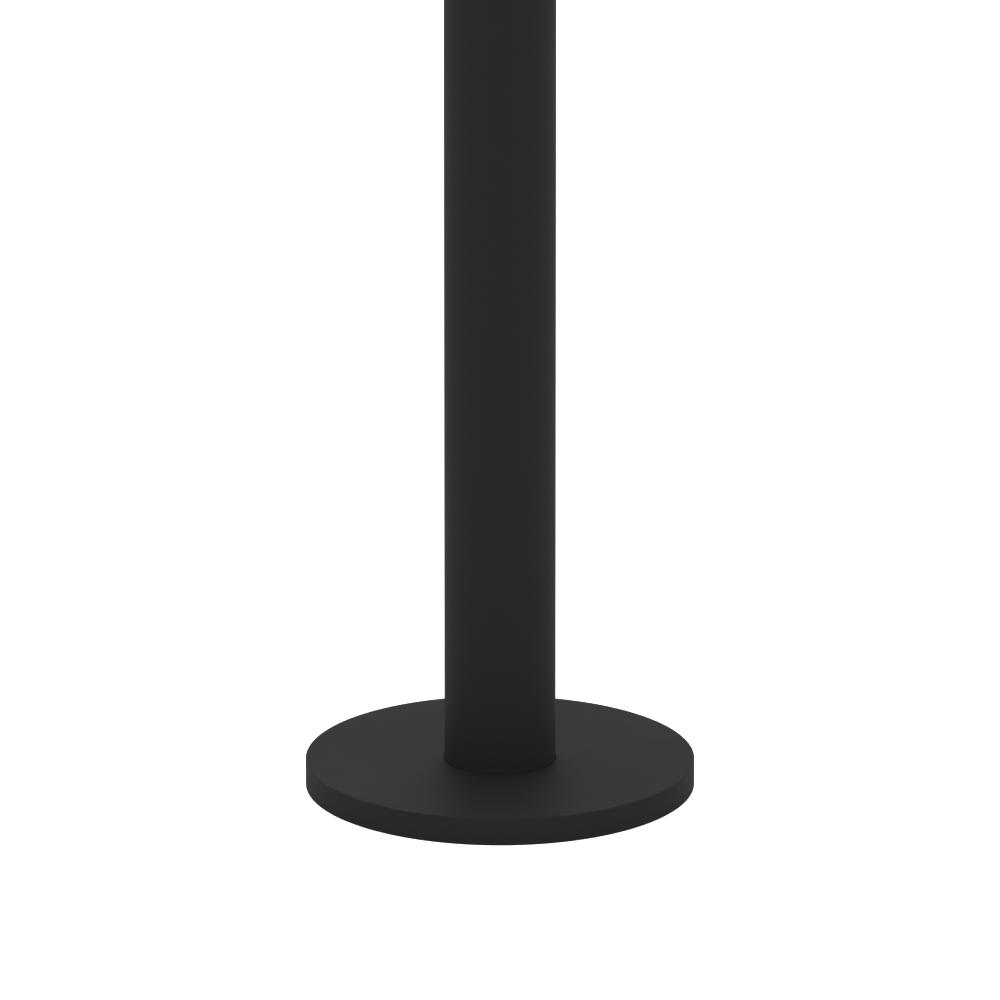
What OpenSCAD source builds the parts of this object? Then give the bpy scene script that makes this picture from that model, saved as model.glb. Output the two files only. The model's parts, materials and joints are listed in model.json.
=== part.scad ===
// Post-mounted street clock with two dials.
// Z is up, the origin is the bottom centre of the foot, and the front dial faces -Y.
// In front() and rear(), x runs to the right and y up the dial, and z is the depth out of the case.

/* [Foot] */
// Outside diameter of the round base cover
cover_d = 420; // [400:5:440]
// Height of the base cover
cover_h = 30; // [28:1:34]
// Diameter of the anchor flange
flange_d = 350; // [340:5:360]
// Bolt circle of the anchor bolts
anchor_pcd = 280; // [260:5:300]
// Clearance hole for one anchor bolt
anchor_hole_d = 18; // [17:0.5:20]
// Duct hole through the flange
duct_d = 100; // [80:5:104]

/* [Post] */
// Outside diameter of the post tube
post_d = 120; // [119:0.5:121]
// Wall of the post tube
post_wall = 4; // [3.5:0.1:4]
// Height of the top of the post tube
post_top = 2660; // [2400:10:2800]
// Height of the middle of the hand hole
hatch_z = 650; // [600:10:900]

/* [Head] */
// Outside diameter of the clock case
case_d = 760; // [756:1:764]
// Half of the depth of the case, without its bezels
case_half = 84; // [84:0.1:84.3]
// Reach of the minute hand from its arbor
minute_reach = 312; // [280:1:318]
// Reach of the hour hand from its arbor
hour_reach = 205; // [170:1:230]

/* [Movement] */
// Teeth of the motor pinion
motor_teeth = 12; // [12]
// Teeth of the drive wheel
drive_teeth = 72; // [72]
// Running clearance on the radius of every shaft
running_fit = 0.05; // [0.02:0.01:0.1]

/* [Hidden] */
$fn = 72;
large_fn = 360;

// Finishes
black = [0.11, 0.11, 0.115];
rubber = [0.05, 0.05, 0.05];
zinc = [0.72, 0.73, 0.75];
steel = [0.6, 0.61, 0.63];
brass = [0.8, 0.66, 0.32];
white = [0.93, 0.93, 0.9];
grey = [0.45, 0.46, 0.48];
opal = [0.96, 0.95, 0.9];
clear = [0.75, 0.85, 0.9, 0.35];

// Foot
flange_t = 10;
cover_wall = 2.5;
cover_edge_r = 1;
cover_bore_r = post_d / 2 + 0.5;
seal_r = post_d / 2 + 0.25;
post_r = post_d / 2;
post_in_r = post_r - post_wall;

// Hand hole and its door, behind the post (+Y)
hatch_w = 72;
hatch_h = 300;
hatch_corner = 12;
door_gap = 0.8;
frame_in_r = 51;
frame_out_r = 54;
window_w = 54;
window_h = 276;
door_axis_a = 52.5;
door_axis_r = post_r + 4.2;
door_knuckle_r = 4;
door_pin_r = 1.6;
door_knuckle_zs = [hatch_z - 90, hatch_z + 90];
leaf_h = 44;
leaf_t = 2;
door_leaf_sink = 1;
door_lock_a = 113;
barrel_r = 6;
barrel_head = [9, 2.6];
barrel_out = 49.5;
spindle_r = 3;
cam_out = 45.5;
cam_t = 2.5;
key_r = 3.9;
frame_z = 162;

// Inside the post: rail, cut-out and earth stud. The cut-out's box is width, depth and height
rail_size = [40, 4, 330];
rail_y = -48;
cutout_size = [60, 44, 150];
cutout_wall = 4;
cutout_back = 6;
cutout_z = hatch_z - 60;
gland_r = 7;
lid_t = 9;
lid_screw_zs = [cutout_z + 10, cutout_z + 140];
fuse_size = [18, 30, 70];
earth_z = hatch_z - 105;
earth_stud_r = 4;

// Neck: the spigot plugs into the post and its saddle carries the case
spigot_r = post_in_r - 0.3;
spigot_l = 120;
neck_r = 48;
neck_bore_r = 30;
screw_r = 5;
case_r = case_d / 2;
case_in_r = case_r - 4;
dial_z = post_top + case_r + 60;
case_bottom = dial_z - case_r;
saddle_z = post_top + 38;
saddle_size = [170, 140];
saddle_bolt_x = 60;
saddle_bolt_y = 50;
clamp_size = [170, 124];
clamp_top = case_bottom + 22;
backbone_size = [80, 40];
backbone_top = dial_z + 170;
cable_r = 4;
cable_exit_z = clamp_top + 65;
electronics_z = cable_exit_z + 60;

// Depths out of the case
tray_w = 28;
tray_r = case_in_r - 10;
tray_notch = [190, 340];
dial_w = 64;
dial_t = 4;
bezel_w = case_half + 1.5;
bezel_front = bezel_w + 20.5;
bezel_t = 3;
glass_w = bezel_front - 9;
glass_t = 5;
glass_r = case_r - 14;
visible_r = case_r - 30;
dial_r = case_r - 12;

// Bezel hinge and lock
hinge_x = -case_r - 9;
hinge_w = case_half + 0.75;
hinge_knuckle_r = 6.5;
hinge_pin_r = 3;
hinge_ys = [-50, 50];
case_knuckle_l = 24;
bezel_knuckle_l = 11.8;
lock_x = case_r + 10;
lock_r = 4;

// Movement: depths and gear sizes
back_plate_w = 24;
front_plate_w = 46;
plate_t = 3;
plate_r = 66;
pillar_at = 41;
arbor_r = 6;
arbor_end_w = case_half + 2.5;
pipe_r = 9;
drive_module = 1;
motion_module = 1.25;
hour_module = 1.2;
cannon_teeth = 12;
reduction_teeth = 36;
reduction_pinion_teeth = 10;
hour_teeth = 40;
motor_x = -drive_module * (motor_teeth + drive_teeth) / 2;
stud_x = motion_module * (cannon_teeth + reduction_teeth) / 2;
stud_r = 3;
drive_w = 41.5;
cannon_w = 50;
reduction_w = 50.8;
hour_wheel_w = 56;
hour_hand_w = 74;
minute_hand_w = 82;
hand_t = 2.5;

// ---- Places and shared shapes ----

module front() translate([0, 0, dial_z]) rotate([90, 0, 0]) children();

module rear() rotate([0, 0, 180]) front() children();

module both() {
    front() children();
    rear() children();
}

// Turned about the case's own axis, in the case's depth direction
module around_case() translate([0, 0, dial_z]) rotate([90, 0, 0]) rotate_extrude() children();

// Part of a tube's wall between two bearings, seen from above
module sector(r0, r1, a0, a1, z0, z1)
    rotate([0, 0, a0]) rotate_extrude(angle = a1 - a0) translate([r0, z0]) square([r1 - r0, z1 - z0]);

module rounded_rect(w, h, r) {
    square([w - 2 * r, h], center = true);
    square([w, h - 2 * r], center = true);
    for (x = [-1, 1], y = [-1, 1]) translate([x * (w / 2 - r), y * (h / 2 - r)]) circle(r = r);
}

// A prism through the rear wall of the post, with the outline of a rounded rectangle
module hatch_prism(w, h, r)
    translate([0, post_r + 20, hatch_z]) rotate([90, 0, 0]) linear_extrude(60) rounded_rect(w, h, r);

// At a bearing round the post, with z pointing outwards from the post's axis
module post_radial(a, z) translate([0, 0, z]) rotate([0, 0, a - 90]) rotate([-90, 0, 0]) children();

module ring(r0, r1, h) linear_extrude(h) difference() {
    circle(r = r1);
    circle(r = r0);
}

module hex(across, h) cylinder(d = across / cos(30), h = h, $fn = 6);

module at_angles(n, r, start = 0)
    for (i = [0:n - 1]) rotate([0, 0, start + i * 360 / n]) translate([r, 0, 0]) children();

module at_corners(x, y) for (sx = [-1, 1], sy = [-1, 1]) translate([sx * x, sy * y, 0]) children();

function polar(r, a) = [r * cos(a), r * sin(a)];

// One tooth, from root to root, with its tip relieved to run with play
function tooth(c, pitch, r, m) = [
    polar(r - 1.1 * m, c - 0.31 * pitch), polar(r - 0.1 * m, c - 0.205 * pitch),
    polar(r + 0.75 * m, c - 0.085 * pitch), polar(r + 0.75 * m, c + 0.085 * pitch),
    polar(r - 0.1 * m, c + 0.205 * pitch), polar(r - 1.1 * m, c + 0.31 * pitch)];

module gear(teeth, m, h) linear_extrude(h)
    polygon([for (i = [0:teeth - 1]) each tooth(i * 360 / teeth, 360 / teeth, m * teeth / 2, m)]);

// Sweeps a round cable along points, where the path never runs along Y
function unit(v) = v / norm(v);
function heading(p, i) = unit(p[min(i + 1, len(p) - 1)] - p[max(i - 1, 0)]);
function cable_ring(p, i, r, n) =
    let (t = heading(p, i), u = unit(cross([0, 1, 0], t)), v = cross(t, u))
    [for (k = [0:n - 1]) p[i] + r * (cos(360 * k / n) * u + sin(360 * k / n) * v)];

module sweep(p, r, n = 10) polyhedron(
    [for (i = [0:len(p) - 1]) each cable_ring(p, i, r, n)],
    concat([[for (k = [0:n - 1]) k]],
        [for (i = [0:len(p) - 2], k = [0:n - 1])
            [i * n + k, (i + 1) * n + k, (i + 1) * n + (k + 1) % n, i * n + (k + 1) % n]],
        [[for (k = [n - 1:-1:0]) (len(p) - 1) * n + k]]));

// ---- Foot ----

module anchor_flange() color(black) {
    difference() {
        cylinder(d = flange_d, h = flange_t);
        translate([0, 0, -1]) cylinder(d = duct_d, h = flange_t + 2);
        at_angles(4, anchor_pcd / 2, 45) translate([0, 0, -1])
            cylinder(d = anchor_hole_d, h = flange_t + 2);
    }
    // Weld fillet round the foot of the post
    rotate_extrude() polygon([[post_r, flange_t], [post_r + 5, flange_t], [post_r, flange_t + 5]]);
}

module cover_profile() {
    translate([cover_bore_r, cover_h - cover_wall])
        square([cover_d / 2 - cover_edge_r - cover_bore_r, cover_wall]);
    translate([cover_d / 2 - cover_wall, 0]) square([cover_wall, cover_h - cover_edge_r]);
    translate([cover_d / 2 - cover_edge_r, cover_h - cover_edge_r]) circle(r = cover_edge_r);
}

module base_cover() color(black) rotate_extrude() cover_profile();

module cover_seal() color(rubber)
    translate([0, 0, cover_h - cover_wall - 4]) ring(seal_r, post_r + 8, 4);

// ---- Post ----

module post_tube() color(black) difference() {
    translate([0, 0, flange_t]) ring(post_in_r, post_r, post_top - flange_t);
    hatch_prism(hatch_w, hatch_h, hatch_corner);
    spigot_holes(screw_r + 0.1);
}

// Backing frame welded behind the hand hole, with a pocket for the gasket
module door_frame() color(black) difference() {
    sector(frame_in_r, post_in_r, 46, 134, hatch_z - frame_z, hatch_z + frame_z);
    sector(frame_out_r, post_r, 50, 130, hatch_z - frame_z + 2, hatch_z + frame_z - 2);
    hatch_prism(window_w, window_h, 10);
}

module door_gasket() color(rubber) difference() {
    sector(frame_out_r, frame_out_r + 1.4, 50.5, 129.5, hatch_z - frame_z + 2.5, hatch_z + frame_z - 2.5);
    hatch_prism(window_w + 4, window_h + 4, 11);
}

module at_door_axis() translate(concat(polar(door_axis_r, door_axis_a), 0)) children();

// One hinge leaf on the post's surface, cut back where the other leaf's knuckle turns
module hinge_leaf(a0, a1, z, own, other, sink = 0) {
    difference() {
        sector(post_r - sink, post_r + leaf_t, a0, a1, z - leaf_h / 2, z + leaf_h / 2);
        for (k = other) at_door_axis() translate([0, 0, z + k[0]])
            cylinder(r = door_knuckle_r + 0.5, h = k[1]);
        at_door_axis() translate([0, 0, z - leaf_h]) cylinder(r = door_pin_r + running_fit, h = 2 * leaf_h);
    }
    for (k = own) at_door_axis() translate([0, 0, z + k[0]])
        ring(door_pin_r + running_fit, door_knuckle_r, k[1]);
}

fixed_knuckles = [[-10, 20]];
door_knuckles = [[-22, 11.7], [10.3, 11.7]];
fixed_cuts = [[-22.2, 12.2], [10, 12.2]];
door_cuts = [[-10.3, 20.6]];

module door_hinge_leaves() color(black)
    for (z = door_knuckle_zs) hinge_leaf(43, 51.6, z, fixed_knuckles, fixed_cuts);

module service_door() color(black) {
    difference() {
        intersection() {
            translate([0, 0, hatch_z - hatch_h / 2]) ring(post_in_r, post_r, hatch_h);
            hatch_prism(hatch_w - 2 * door_gap, hatch_h - 2 * door_gap, hatch_corner - door_gap);
        }
        post_radial(door_lock_a, hatch_z) cylinder(r = barrel_r, h = post_r + 10);
    }
    for (z = door_knuckle_zs) hinge_leaf(54.4, 63, z, door_knuckles, door_cuts, door_leaf_sink);
}

module door_lock_barrel() color(zinc) post_radial(door_lock_a, hatch_z) difference() {
    union() {
        translate([0, 0, barrel_out]) cylinder(r = barrel_r, h = post_r + 1.5 - barrel_out);
        translate([0, 0, post_r + 0.2]) cylinder(r = barrel_head[0], h = barrel_head[1]);
    }
    cylinder(r = spindle_r + running_fit, h = post_r + 0.4);
    translate([0, 0, post_r]) cylinder(r = key_r + 0.9, h = 5);
}

// Quarter turn cam: it hangs down when it is unlocked
module door_lock_cam() color(steel) post_radial(door_lock_a, hatch_z) {
    translate([0, 0, cam_out]) cylinder(r = spindle_r, h = post_r + 1 - cam_out);
    translate([-spindle_r, -spindle_r, cam_out]) cube([2 * spindle_r, 18.5, cam_t]);
    translate([0, 0, cam_out - 1.5]) hex(7, 1.5);
    translate([0, 0, post_r + 0.6]) linear_extrude(1.8) polygon([for (a = [90, 210, 330]) polar(key_r, a)]);
}

module hinge_pins() color(steel) {
    for (z = door_knuckle_zs) at_door_axis() translate([0, 0, z - 23.5]) cylinder(r = door_pin_r, h = 47);
    both() for (y = hinge_ys) translate([hinge_x, y - 26, hinge_w]) rotate([-90, 0, 0])
        cylinder(r = hinge_pin_r, h = 52);
}

// ---- Inside the post ----

module equipment_rail() color(zinc) {
    difference() {
        translate([-rail_size[0] / 2, rail_y, hatch_z - rail_size[2] / 2]) cube(rail_size);
        for (z = [-150:50:150]) translate([0, rail_y + 8, hatch_z + z]) rotate([90, 0, 0])
            cylinder(r = 3, h = 20);
    }
    intersection() {
        for (z = [-135, 135]) translate([0, rail_y + 1, hatch_z + z]) rotate([90, 0, 0])
            cylinder(r = 7, h = 12);
        cylinder(r = post_in_r, h = post_top);
    }
}

module fused_cutout() color(grey) {
    difference() {
        translate([-cutout_size[0] / 2, -cutout_size[1], cutout_z]) cube(cutout_size);
        translate([cutout_wall - cutout_size[0] / 2, cutout_back - cutout_size[1], cutout_z + cutout_wall])
            cube(cutout_size - 2 * [cutout_wall, 0, cutout_wall]);
        at_clock_gland() translate([0, 0, -cutout_wall - 6]) cylinder(r = cable_r + 0.5, h = 20);
    }
    // Cable glands: two below for the site's cables, one above for the clock's own
    for (x = [-15, 15]) translate([x, -22, cutout_z - 14]) ring(gland_r, gland_r + 4, 14);
    at_clock_gland() ring(cable_r + 0.5, 9, 12);
    // Two fuse carriers on the back wall
    for (x = [-13, 13]) translate([x - fuse_size[0] / 2, cutout_back - cutout_size[1], cutout_z + 40])
        cube(fuse_size);
}

module at_clock_gland() translate([12, -20, cutout_z + cutout_size[2]]) children();

module cutout_lid() color(grey) difference() {
    union() {
        translate([-cutout_size[0] / 2, 0, cutout_z]) cube([cutout_size[0], lid_t, cutout_size[2]]);
        for (z = lid_screw_zs) translate([0, lid_t, z]) rotate([-90, 0, 0]) cylinder(r = 4.5, h = 2);
    }
    for (z = lid_screw_zs) translate([-4, lid_t + 1, z - 0.6]) cube([8, 2, 1.2]);
    translate([cutout_wall - cutout_size[0] / 2, -1, cutout_z + 20])
        cube([cutout_size[0] - 2 * cutout_wall, 7, cutout_size[2] - 40]);
}

module earth_stud() color(brass) translate([0, rail_y + rail_size[1], earth_z]) rotate([-90, 0, 0]) {
    cylinder(r = earth_stud_r, h = 26);
    for (z = [0, 12]) translate([0, 0, z]) {
        ring(earth_stud_r, 8, 1.5);
        translate([0, 0, 1.5]) hex(13, 6);
    }
}

// Route of the clock's cable: up the post, through the neck, round into the power supply
cable_bend = 35;
cable_path = concat(
    [[12, -20, hatch_z + 84], [12, -20, hatch_z + 180], [11, -18, hatch_z + 280], [7, -12, hatch_z + 400],
        [2, -4, hatch_z + 540], [0, 0, hatch_z + 680], [0, 0, 1800], [0, 0, post_top - spigot_l]],
    [for (a = [0:15:90]) [cable_bend * (1 - cos(a)), 0, cable_exit_z - cable_bend * (1 - sin(a))]],
    [for (a = [15:15:90]) [cable_bend * (1 + sin(a)), 0, cable_exit_z + cable_bend * (1 - cos(a))]],
    [[2 * cable_bend, 0, electronics_z]]);

module supply_cable() color(rubber) sweep(cable_path, cable_r);

// ---- Neck ----

module spigot_holes(r) for (z = [post_top - 80, post_top - 40], a = [30, 150, 270])
    post_radial(a, z) translate([0, 0, post_r - 12]) cylinder(r = r, h = 14);

module neck_spigot() color(black) difference() {
    union() {
        rotate_extrude() polygon([[neck_bore_r, post_top - spigot_l], [spigot_r - 2, post_top - spigot_l],
            [spigot_r, post_top - spigot_l + 4], [spigot_r, post_top], [post_r, post_top],
            [post_r, post_top + 10], [neck_r, post_top + 24], [neck_r, post_top + 30],
            [neck_r + 14, saddle_z + 1], [neck_bore_r, saddle_z + 1]]);
        difference() {
            translate([0, 0, saddle_z]) linear_extrude(case_bottom - saddle_z + 15)
                rounded_rect(saddle_size[0], saddle_size[1], 18);
            case_cylinder(case_r);
        }
    }
    translate([0, 0, post_top - spigot_l - 1]) cylinder(r = neck_bore_r, h = spigot_l + 120);
    at_corners(saddle_bolt_x, saddle_bolt_y) translate([0, 0, saddle_z - 1]) cylinder(r = 5.5, h = 60);
    spigot_holes(screw_r);
}

module case_cylinder(r)
    translate([0, 0, dial_z]) rotate([90, 0, 0]) cylinder(r = r, h = 300, center = true, $fn = large_fn);

module spigot_screws() color(steel) for (z = [post_top - 80, post_top - 40], a = [30, 150, 270])
    post_radial(a, z) translate([0, 0, post_r - 12]) difference() {
        cylinder(r = screw_r, h = 11.5);
        translate([0, 0, 7]) hex(5, 6);
    }

module clamp_plate() color(zinc) difference() {
    intersection() {
        translate([0, 0, case_bottom - 5]) linear_extrude(clamp_top - case_bottom + 5)
            rounded_rect(clamp_size[0], clamp_size[1], 14);
        case_cylinder(case_in_r);
    }
    cylinder(r = 12, h = dial_z);
    at_corners(saddle_bolt_x, saddle_bolt_y) cylinder(r = 5.5, h = dial_z);
}

module saddle_bolts() color(zinc) at_corners(saddle_bolt_x, saddle_bolt_y) {
    translate([0, 0, saddle_z - 8]) hex(16, 6);
    translate([0, 0, saddle_z - 2]) cylinder(r = 10, h = 2);
    translate([0, 0, saddle_z - 1]) cylinder(r = 5, h = clamp_top - saddle_z + 15);
    translate([0, 0, clamp_top]) ring(5, 10, 2);
    translate([0, 0, clamp_top + 2]) hex(16, 8);
}

// ---- Case ----

module case_profile() {
    translate([case_in_r, -case_half]) square([4, 2 * case_half]);
    for (s = [-1, 1]) translate([case_in_r - 6, s * (case_half - 2) - 2]) square([7, 4]);
}

module case_ring() color(black) difference() {
    union() {
        around_case() case_profile();
        both() difference() {
            union() {
                for (y = hinge_ys) case_hinge_lug(y);
                translate([case_r - 3, -14, case_half - 8]) cube([23, 28, 8]);
            }
            translate([0, 0, case_half - 60]) cylinder(r = case_r - 2, h = 80);
            for (y = hinge_ys) translate([hinge_x, y - 30, hinge_w]) rotate([-90, 0, 0])
                cylinder(r = hinge_pin_r, h = 60);
            keyhole();
        }
    }
    cylinder(r = 15, h = dial_z);
    at_corners(saddle_bolt_x, saddle_bolt_y) cylinder(r = 5.5, h = dial_z);
    at_drains() cylinder(r = 7, h = 30);
}

module case_hinge_lug(y) {
    translate([hinge_x, y - case_knuckle_l / 2, hinge_w]) rotate([-90, 0, 0])
        cylinder(r = hinge_knuckle_r, h = case_knuckle_l);
    translate([hinge_x, y - case_knuckle_l / 2, case_half - 5.5]) cube([24, case_knuckle_l, 5.5]);
}

// Opening that the lock's tongue goes through while it stands upright
module keyhole() translate([lock_x, 0, case_half - 10]) {
    translate([-3.6, -9.6, 0]) cube([7.2, 19.2, 12]);
    cylinder(r = lock_r + 0.6, h = 12);
}

module at_drains() translate([0, 0, dial_z]) for (a = [-25, 25])
    rotate([0, a, 0]) translate([0, 0, -case_r - 4]) children();

module drain_vents() color(rubber) at_drains() difference() {
    union() {
        cylinder(r = 9, h = 3.9);
        cylinder(r = 6.9, h = 10);
    }
    translate([0, 0, -1]) cylinder(r = 4.5, h = 10);
}

module backbone() color(zinc) difference() {
    translate([0, 0, clamp_top]) linear_extrude(backbone_top - clamp_top) difference() {
        square(backbone_size, center = true);
        square(backbone_size - [6, 6], center = true);
    }
    translate([0, 0, cable_exit_z]) rotate([0, 90, 0]) cylinder(r = 8, h = 60);
    both() for (x = [-30, 30], y = [-45, 45]) translate([x, y, 0]) cylinder(r = 2.5, h = 30);
}

module electronics_box(z0, z1) {
    translate([44, -20, z0]) cube([60, 40, z1 - z0]);
    for (z = [z0 + 15, z1 - 25]) translate([40, -12, z]) cube([5, 24, 10]);
}

module power_supply() color(zinc) {
    electronics_box(electronics_z, dial_z - 80);
    for (i = [0:5]) translate([104, -17 + i * 6, electronics_z + 10]) cube([8, 3, 130]);
}

module clock_controller() color(grey) rotate([0, 0, 180]) {
    electronics_box(electronics_z, dial_z - 100);
    for (i = [0:3]) translate([104, -15 + i * 8, electronics_z + 15]) cube([4, 5, 12]);
}

module tray_brackets() color(zinc) both() at_angles(6, 0) intersection() {
    union() {
        translate([case_in_r - 26, -12, tray_w - 2]) cube([27, 24, 2]);
        translate([case_in_r - 3, -12, tray_w - 18]) cube([4, 24, 18]);
    }
    cylinder(r = case_in_r, h = tray_w, $fn = large_fn);
}

// Reflector behind a dial, notched at the bottom to clear the clamp plate and its bolts
module light_trays() color(white) both() difference() {
    rotate_extrude() {
        translate([plate_r + 6, tray_w]) square([tray_r - plate_r - 6, 2]);
        translate([tray_r - 2, tray_w]) square([2, 17]);
    }
    translate([-tray_notch[0] / 2, -case_r, tray_w - 1]) cube([tray_notch[0], case_r - tray_notch[1], 20]);
}

led_rings = [[130, 14], [230, 24], [320, 32]];

module led_boards() both() for (l = led_rings) {
    color("darkgreen") translate([0, 0, tray_w + 2]) ring(l[0] - 7, l[0] + 7, 1.6);
    color(opal) at_angles(l[1], l[0]) translate([-2.5, -2.5, tray_w + 3.5]) cube([5, 5, 1.5]);
}

module dial_pillars() color(zinc) both() at_angles(8, dial_r - 10, 22.5) {
    translate([0, 0, tray_w + 2]) cylinder(r = 5, h = dial_w - tray_w - 2);
    translate([0, 0, dial_w + dial_t]) cylinder(r = 5, h = 2.5);
}

module dial() color(opal) translate([0, 0, dial_w]) ring(pipe_r + 1.5, dial_r, dial_t);

module front_dial() front() dial();

module rear_dial() rear() dial();

// Hour batons and minute strokes, raised on the dial
module dial_markers() color(black) both() for (i = [0:59]) rotate([0, 0, i * 6]) {
    hour = i % 5 == 0;
    translate([visible_r - (hour ? 50 : 30), hour ? -7 : -2, dial_w + dial_t])
        cube([hour ? 36 : 16, hour ? 14 : 4, 1]);
}

module bezel_seals() color(rubber) both() translate([0, 0, case_half]) ring(case_r - 5, case_r - 0.5, 1.3);

// ---- Bezels ----

module bezel_profile() {
    r = 8;
    difference() {
        union() {
            translate([visible_r, bezel_w]) square([case_r - r - visible_r, bezel_front - bezel_w]);
            translate([visible_r, bezel_w]) square([case_r - visible_r, bezel_front - r - bezel_w]);
            translate([case_r - r, bezel_front - r]) circle(r = r);
        }
        translate([visible_r - 1, bezel_w - 1])
            square([case_r - bezel_t - visible_r - r + 4, bezel_front - bezel_t - bezel_w + 1]);
        translate([visible_r - 1, bezel_w - 1])
            square([case_r - bezel_t - visible_r + 1, bezel_front - r - bezel_w + 1]);
        translate([case_r - r, bezel_front - r]) circle(r = r - bezel_t);
    }
}

module bezel() color(black) difference() {
    union() {
        rotate_extrude() bezel_profile();
        difference() {
            union() {
                for (y = hinge_ys, s = [-1, 1])
                    bezel_hinge_lug(y + s * (case_knuckle_l / 2 + 0.2 + bezel_knuckle_l / 2));
                translate([case_r - 3, -14, bezel_w]) cube([23, 28, 7.5]);
            }
            cylinder(r = case_r - 2, h = 200);
        }
    }
    for (y = hinge_ys) translate([hinge_x, y - 30, hinge_w]) rotate([-90, 0, 0])
        cylinder(r = hinge_pin_r + running_fit, h = 60);
    translate([lock_x, 0, bezel_w - 1]) cylinder(r = lock_r + running_fit, h = 10);
}

module bezel_hinge_lug(y) {
    translate([hinge_x, y - bezel_knuckle_l / 2, hinge_w]) rotate([-90, 0, 0])
        cylinder(r = hinge_knuckle_r, h = bezel_knuckle_l);
    translate([hinge_x, y - bezel_knuckle_l / 2, bezel_w]) cube([24, bezel_knuckle_l, 5.5]);
}

module glass() color(clear) translate([0, 0, glass_w]) cylinder(r = glass_r, h = glass_t);

module glass_gasket() color(rubber) translate([0, 0, glass_w - 1]) difference() {
    ring(glass_r - 10, glass_r + 6, glass_t + 2);
    translate([0, 0, 1]) cylinder(r = glass_r, h = glass_t);
}

module glass_clips() color(zinc) intersection() {
    at_angles(8, 0, 22.5) {
        translate([glass_r - 6, -12, glass_w - 3]) cube([20, 24, 2]);
        translate([case_r - 6, -12, glass_w - 8]) cube([4, 24, 7]);
    }
    cylinder(r = case_r - bezel_t, h = 200, $fn = large_fn);
}

// Quarter turn lock of a bezel: its tongue stands upright when it is unlocked
module lock_cam() color(zinc) translate([lock_x, 0, 0]) {
    translate([0, 0, case_half - 11]) cylinder(r = lock_r, h = bezel_w + 7.5 - case_half + 11.2);
    translate([0, 0, bezel_w + 7.6]) difference() {
        cylinder(r = 7, h = 3);
        translate([0, 0, 1]) linear_extrude(3) polygon([for (a = [90, 210, 330]) polar(4, a)]);
    }
    translate([-3, -9, case_half - 12]) cube([6, 18, 3]);
}

module front_bezel() front() bezel();

module front_glass() front() glass();

module front_glass_gasket() front() glass_gasket();

module front_glass_clips() front() glass_clips();

module front_lock_cam() front() lock_cam();

module rear_bezel() rear() bezel();

module rear_glass() rear() glass();

module rear_glass_gasket() rear() glass_gasket();

module rear_glass_clips() rear() glass_clips();

module rear_lock_cam() rear() lock_cam();

// ---- Movement ----

module movement_plate(w, bore) translate([0, 0, w]) difference() {
    cylinder(r = plate_r, h = plate_t);
    translate([0, 0, -1]) cylinder(r = bore, h = plate_t + 2);
}

module movement_frame() color(brass) {
    movement_plate(back_plate_w, arbor_r + running_fit);
    movement_plate(front_plate_w, arbor_r + running_fit);
    at_corners(pillar_at, pillar_at) translate([0, 0, back_plate_w + plate_t])
        cylinder(r = 4, h = front_plate_w - back_plate_w - plate_t);
    at_corners(30, 45) translate([0, 0, backbone_size[1] / 2])
        cylinder(r = 5, h = back_plate_w - backbone_size[1] / 2);
    translate([stud_x, 0, front_plate_w + plate_t]) cylinder(r = stud_r, h = 12);
}

module motor() color(grey) translate([motor_x, 0, back_plate_w + plate_t]) {
    cylinder(r = 18, h = 13);
    translate([0, 0, 13]) cylinder(r = 1.5, h = 5);
    translate([-23, -8, 2]) cube([8, 16, 8]);
}

module motor_pinion() color(brass) translate([motor_x, 0, drive_w - 0.7]) difference() {
    rotate([0, 0, 180 / motor_teeth]) gear(motor_teeth, drive_module, 4.2);
    translate([0, 0, -1]) cylinder(r = 1.5 + running_fit, h = 7);
}

module minute_arbor() color(brass) {
    translate([0, 0, back_plate_w - 2]) cylinder(r = arbor_r, h = arbor_end_w - back_plate_w + 2);
    translate([0, 0, drive_w]) gear(drive_teeth, drive_module, 3);
    translate([0, 0, drive_w - 3]) cylinder(r = 11, h = 3);
    translate([0, 0, cannon_w]) gear(cannon_teeth, motion_module, 5);
}

module reduction_wheel() color(brass) translate([stud_x, 0, reduction_w]) difference() {
    union() {
        rotate([0, 0, 180 / reduction_teeth]) gear(reduction_teeth, motion_module, 3);
        translate([0, 0, 1]) gear(reduction_pinion_teeth, hour_module, 8.2);
    }
    translate([0, 0, -1]) cylinder(r = stud_r + running_fit, h = 12);
}

module hour_wheel() color(brass) translate([0, 0, hour_wheel_w]) difference() {
    union() {
        rotate([0, 0, 180 / hour_teeth]) gear(hour_teeth, hour_module, 3);
        translate([0, 0, 1]) cylinder(r = pipe_r, h = hour_hand_w + hand_t - hour_wheel_w);
    }
    translate([0, 0, -1]) cylinder(r = arbor_r + running_fit, h = 40);
}

// A tapered hand that points up the dial, with a round boss and a round tail
module hand_outline(reach, tail, wide, narrow, boss) {
    polygon([[-wide / 2, 0], [-narrow / 2, reach], [narrow / 2, reach], [wide / 2, 0]]);
    polygon([[-wide / 2, 0], [-wide * 0.4, -tail], [wide * 0.4, -tail], [wide / 2, 0]]);
    translate([0, -tail]) circle(r = wide * 0.4);
    circle(r = boss);
}

module hour_hand() color(black) difference() {
    union() {
        translate([0, 0, hour_hand_w]) rotate([0, 0, 60]) linear_extrude(hand_t)
            hand_outline(hour_reach, 62, 30, 18, 22);
        translate([0, 0, hour_hand_w - 3]) cylinder(r = 15, h = 3);
    }
    translate([0, 0, hour_hand_w - 4]) cylinder(r = pipe_r, h = 10);
}

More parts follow.
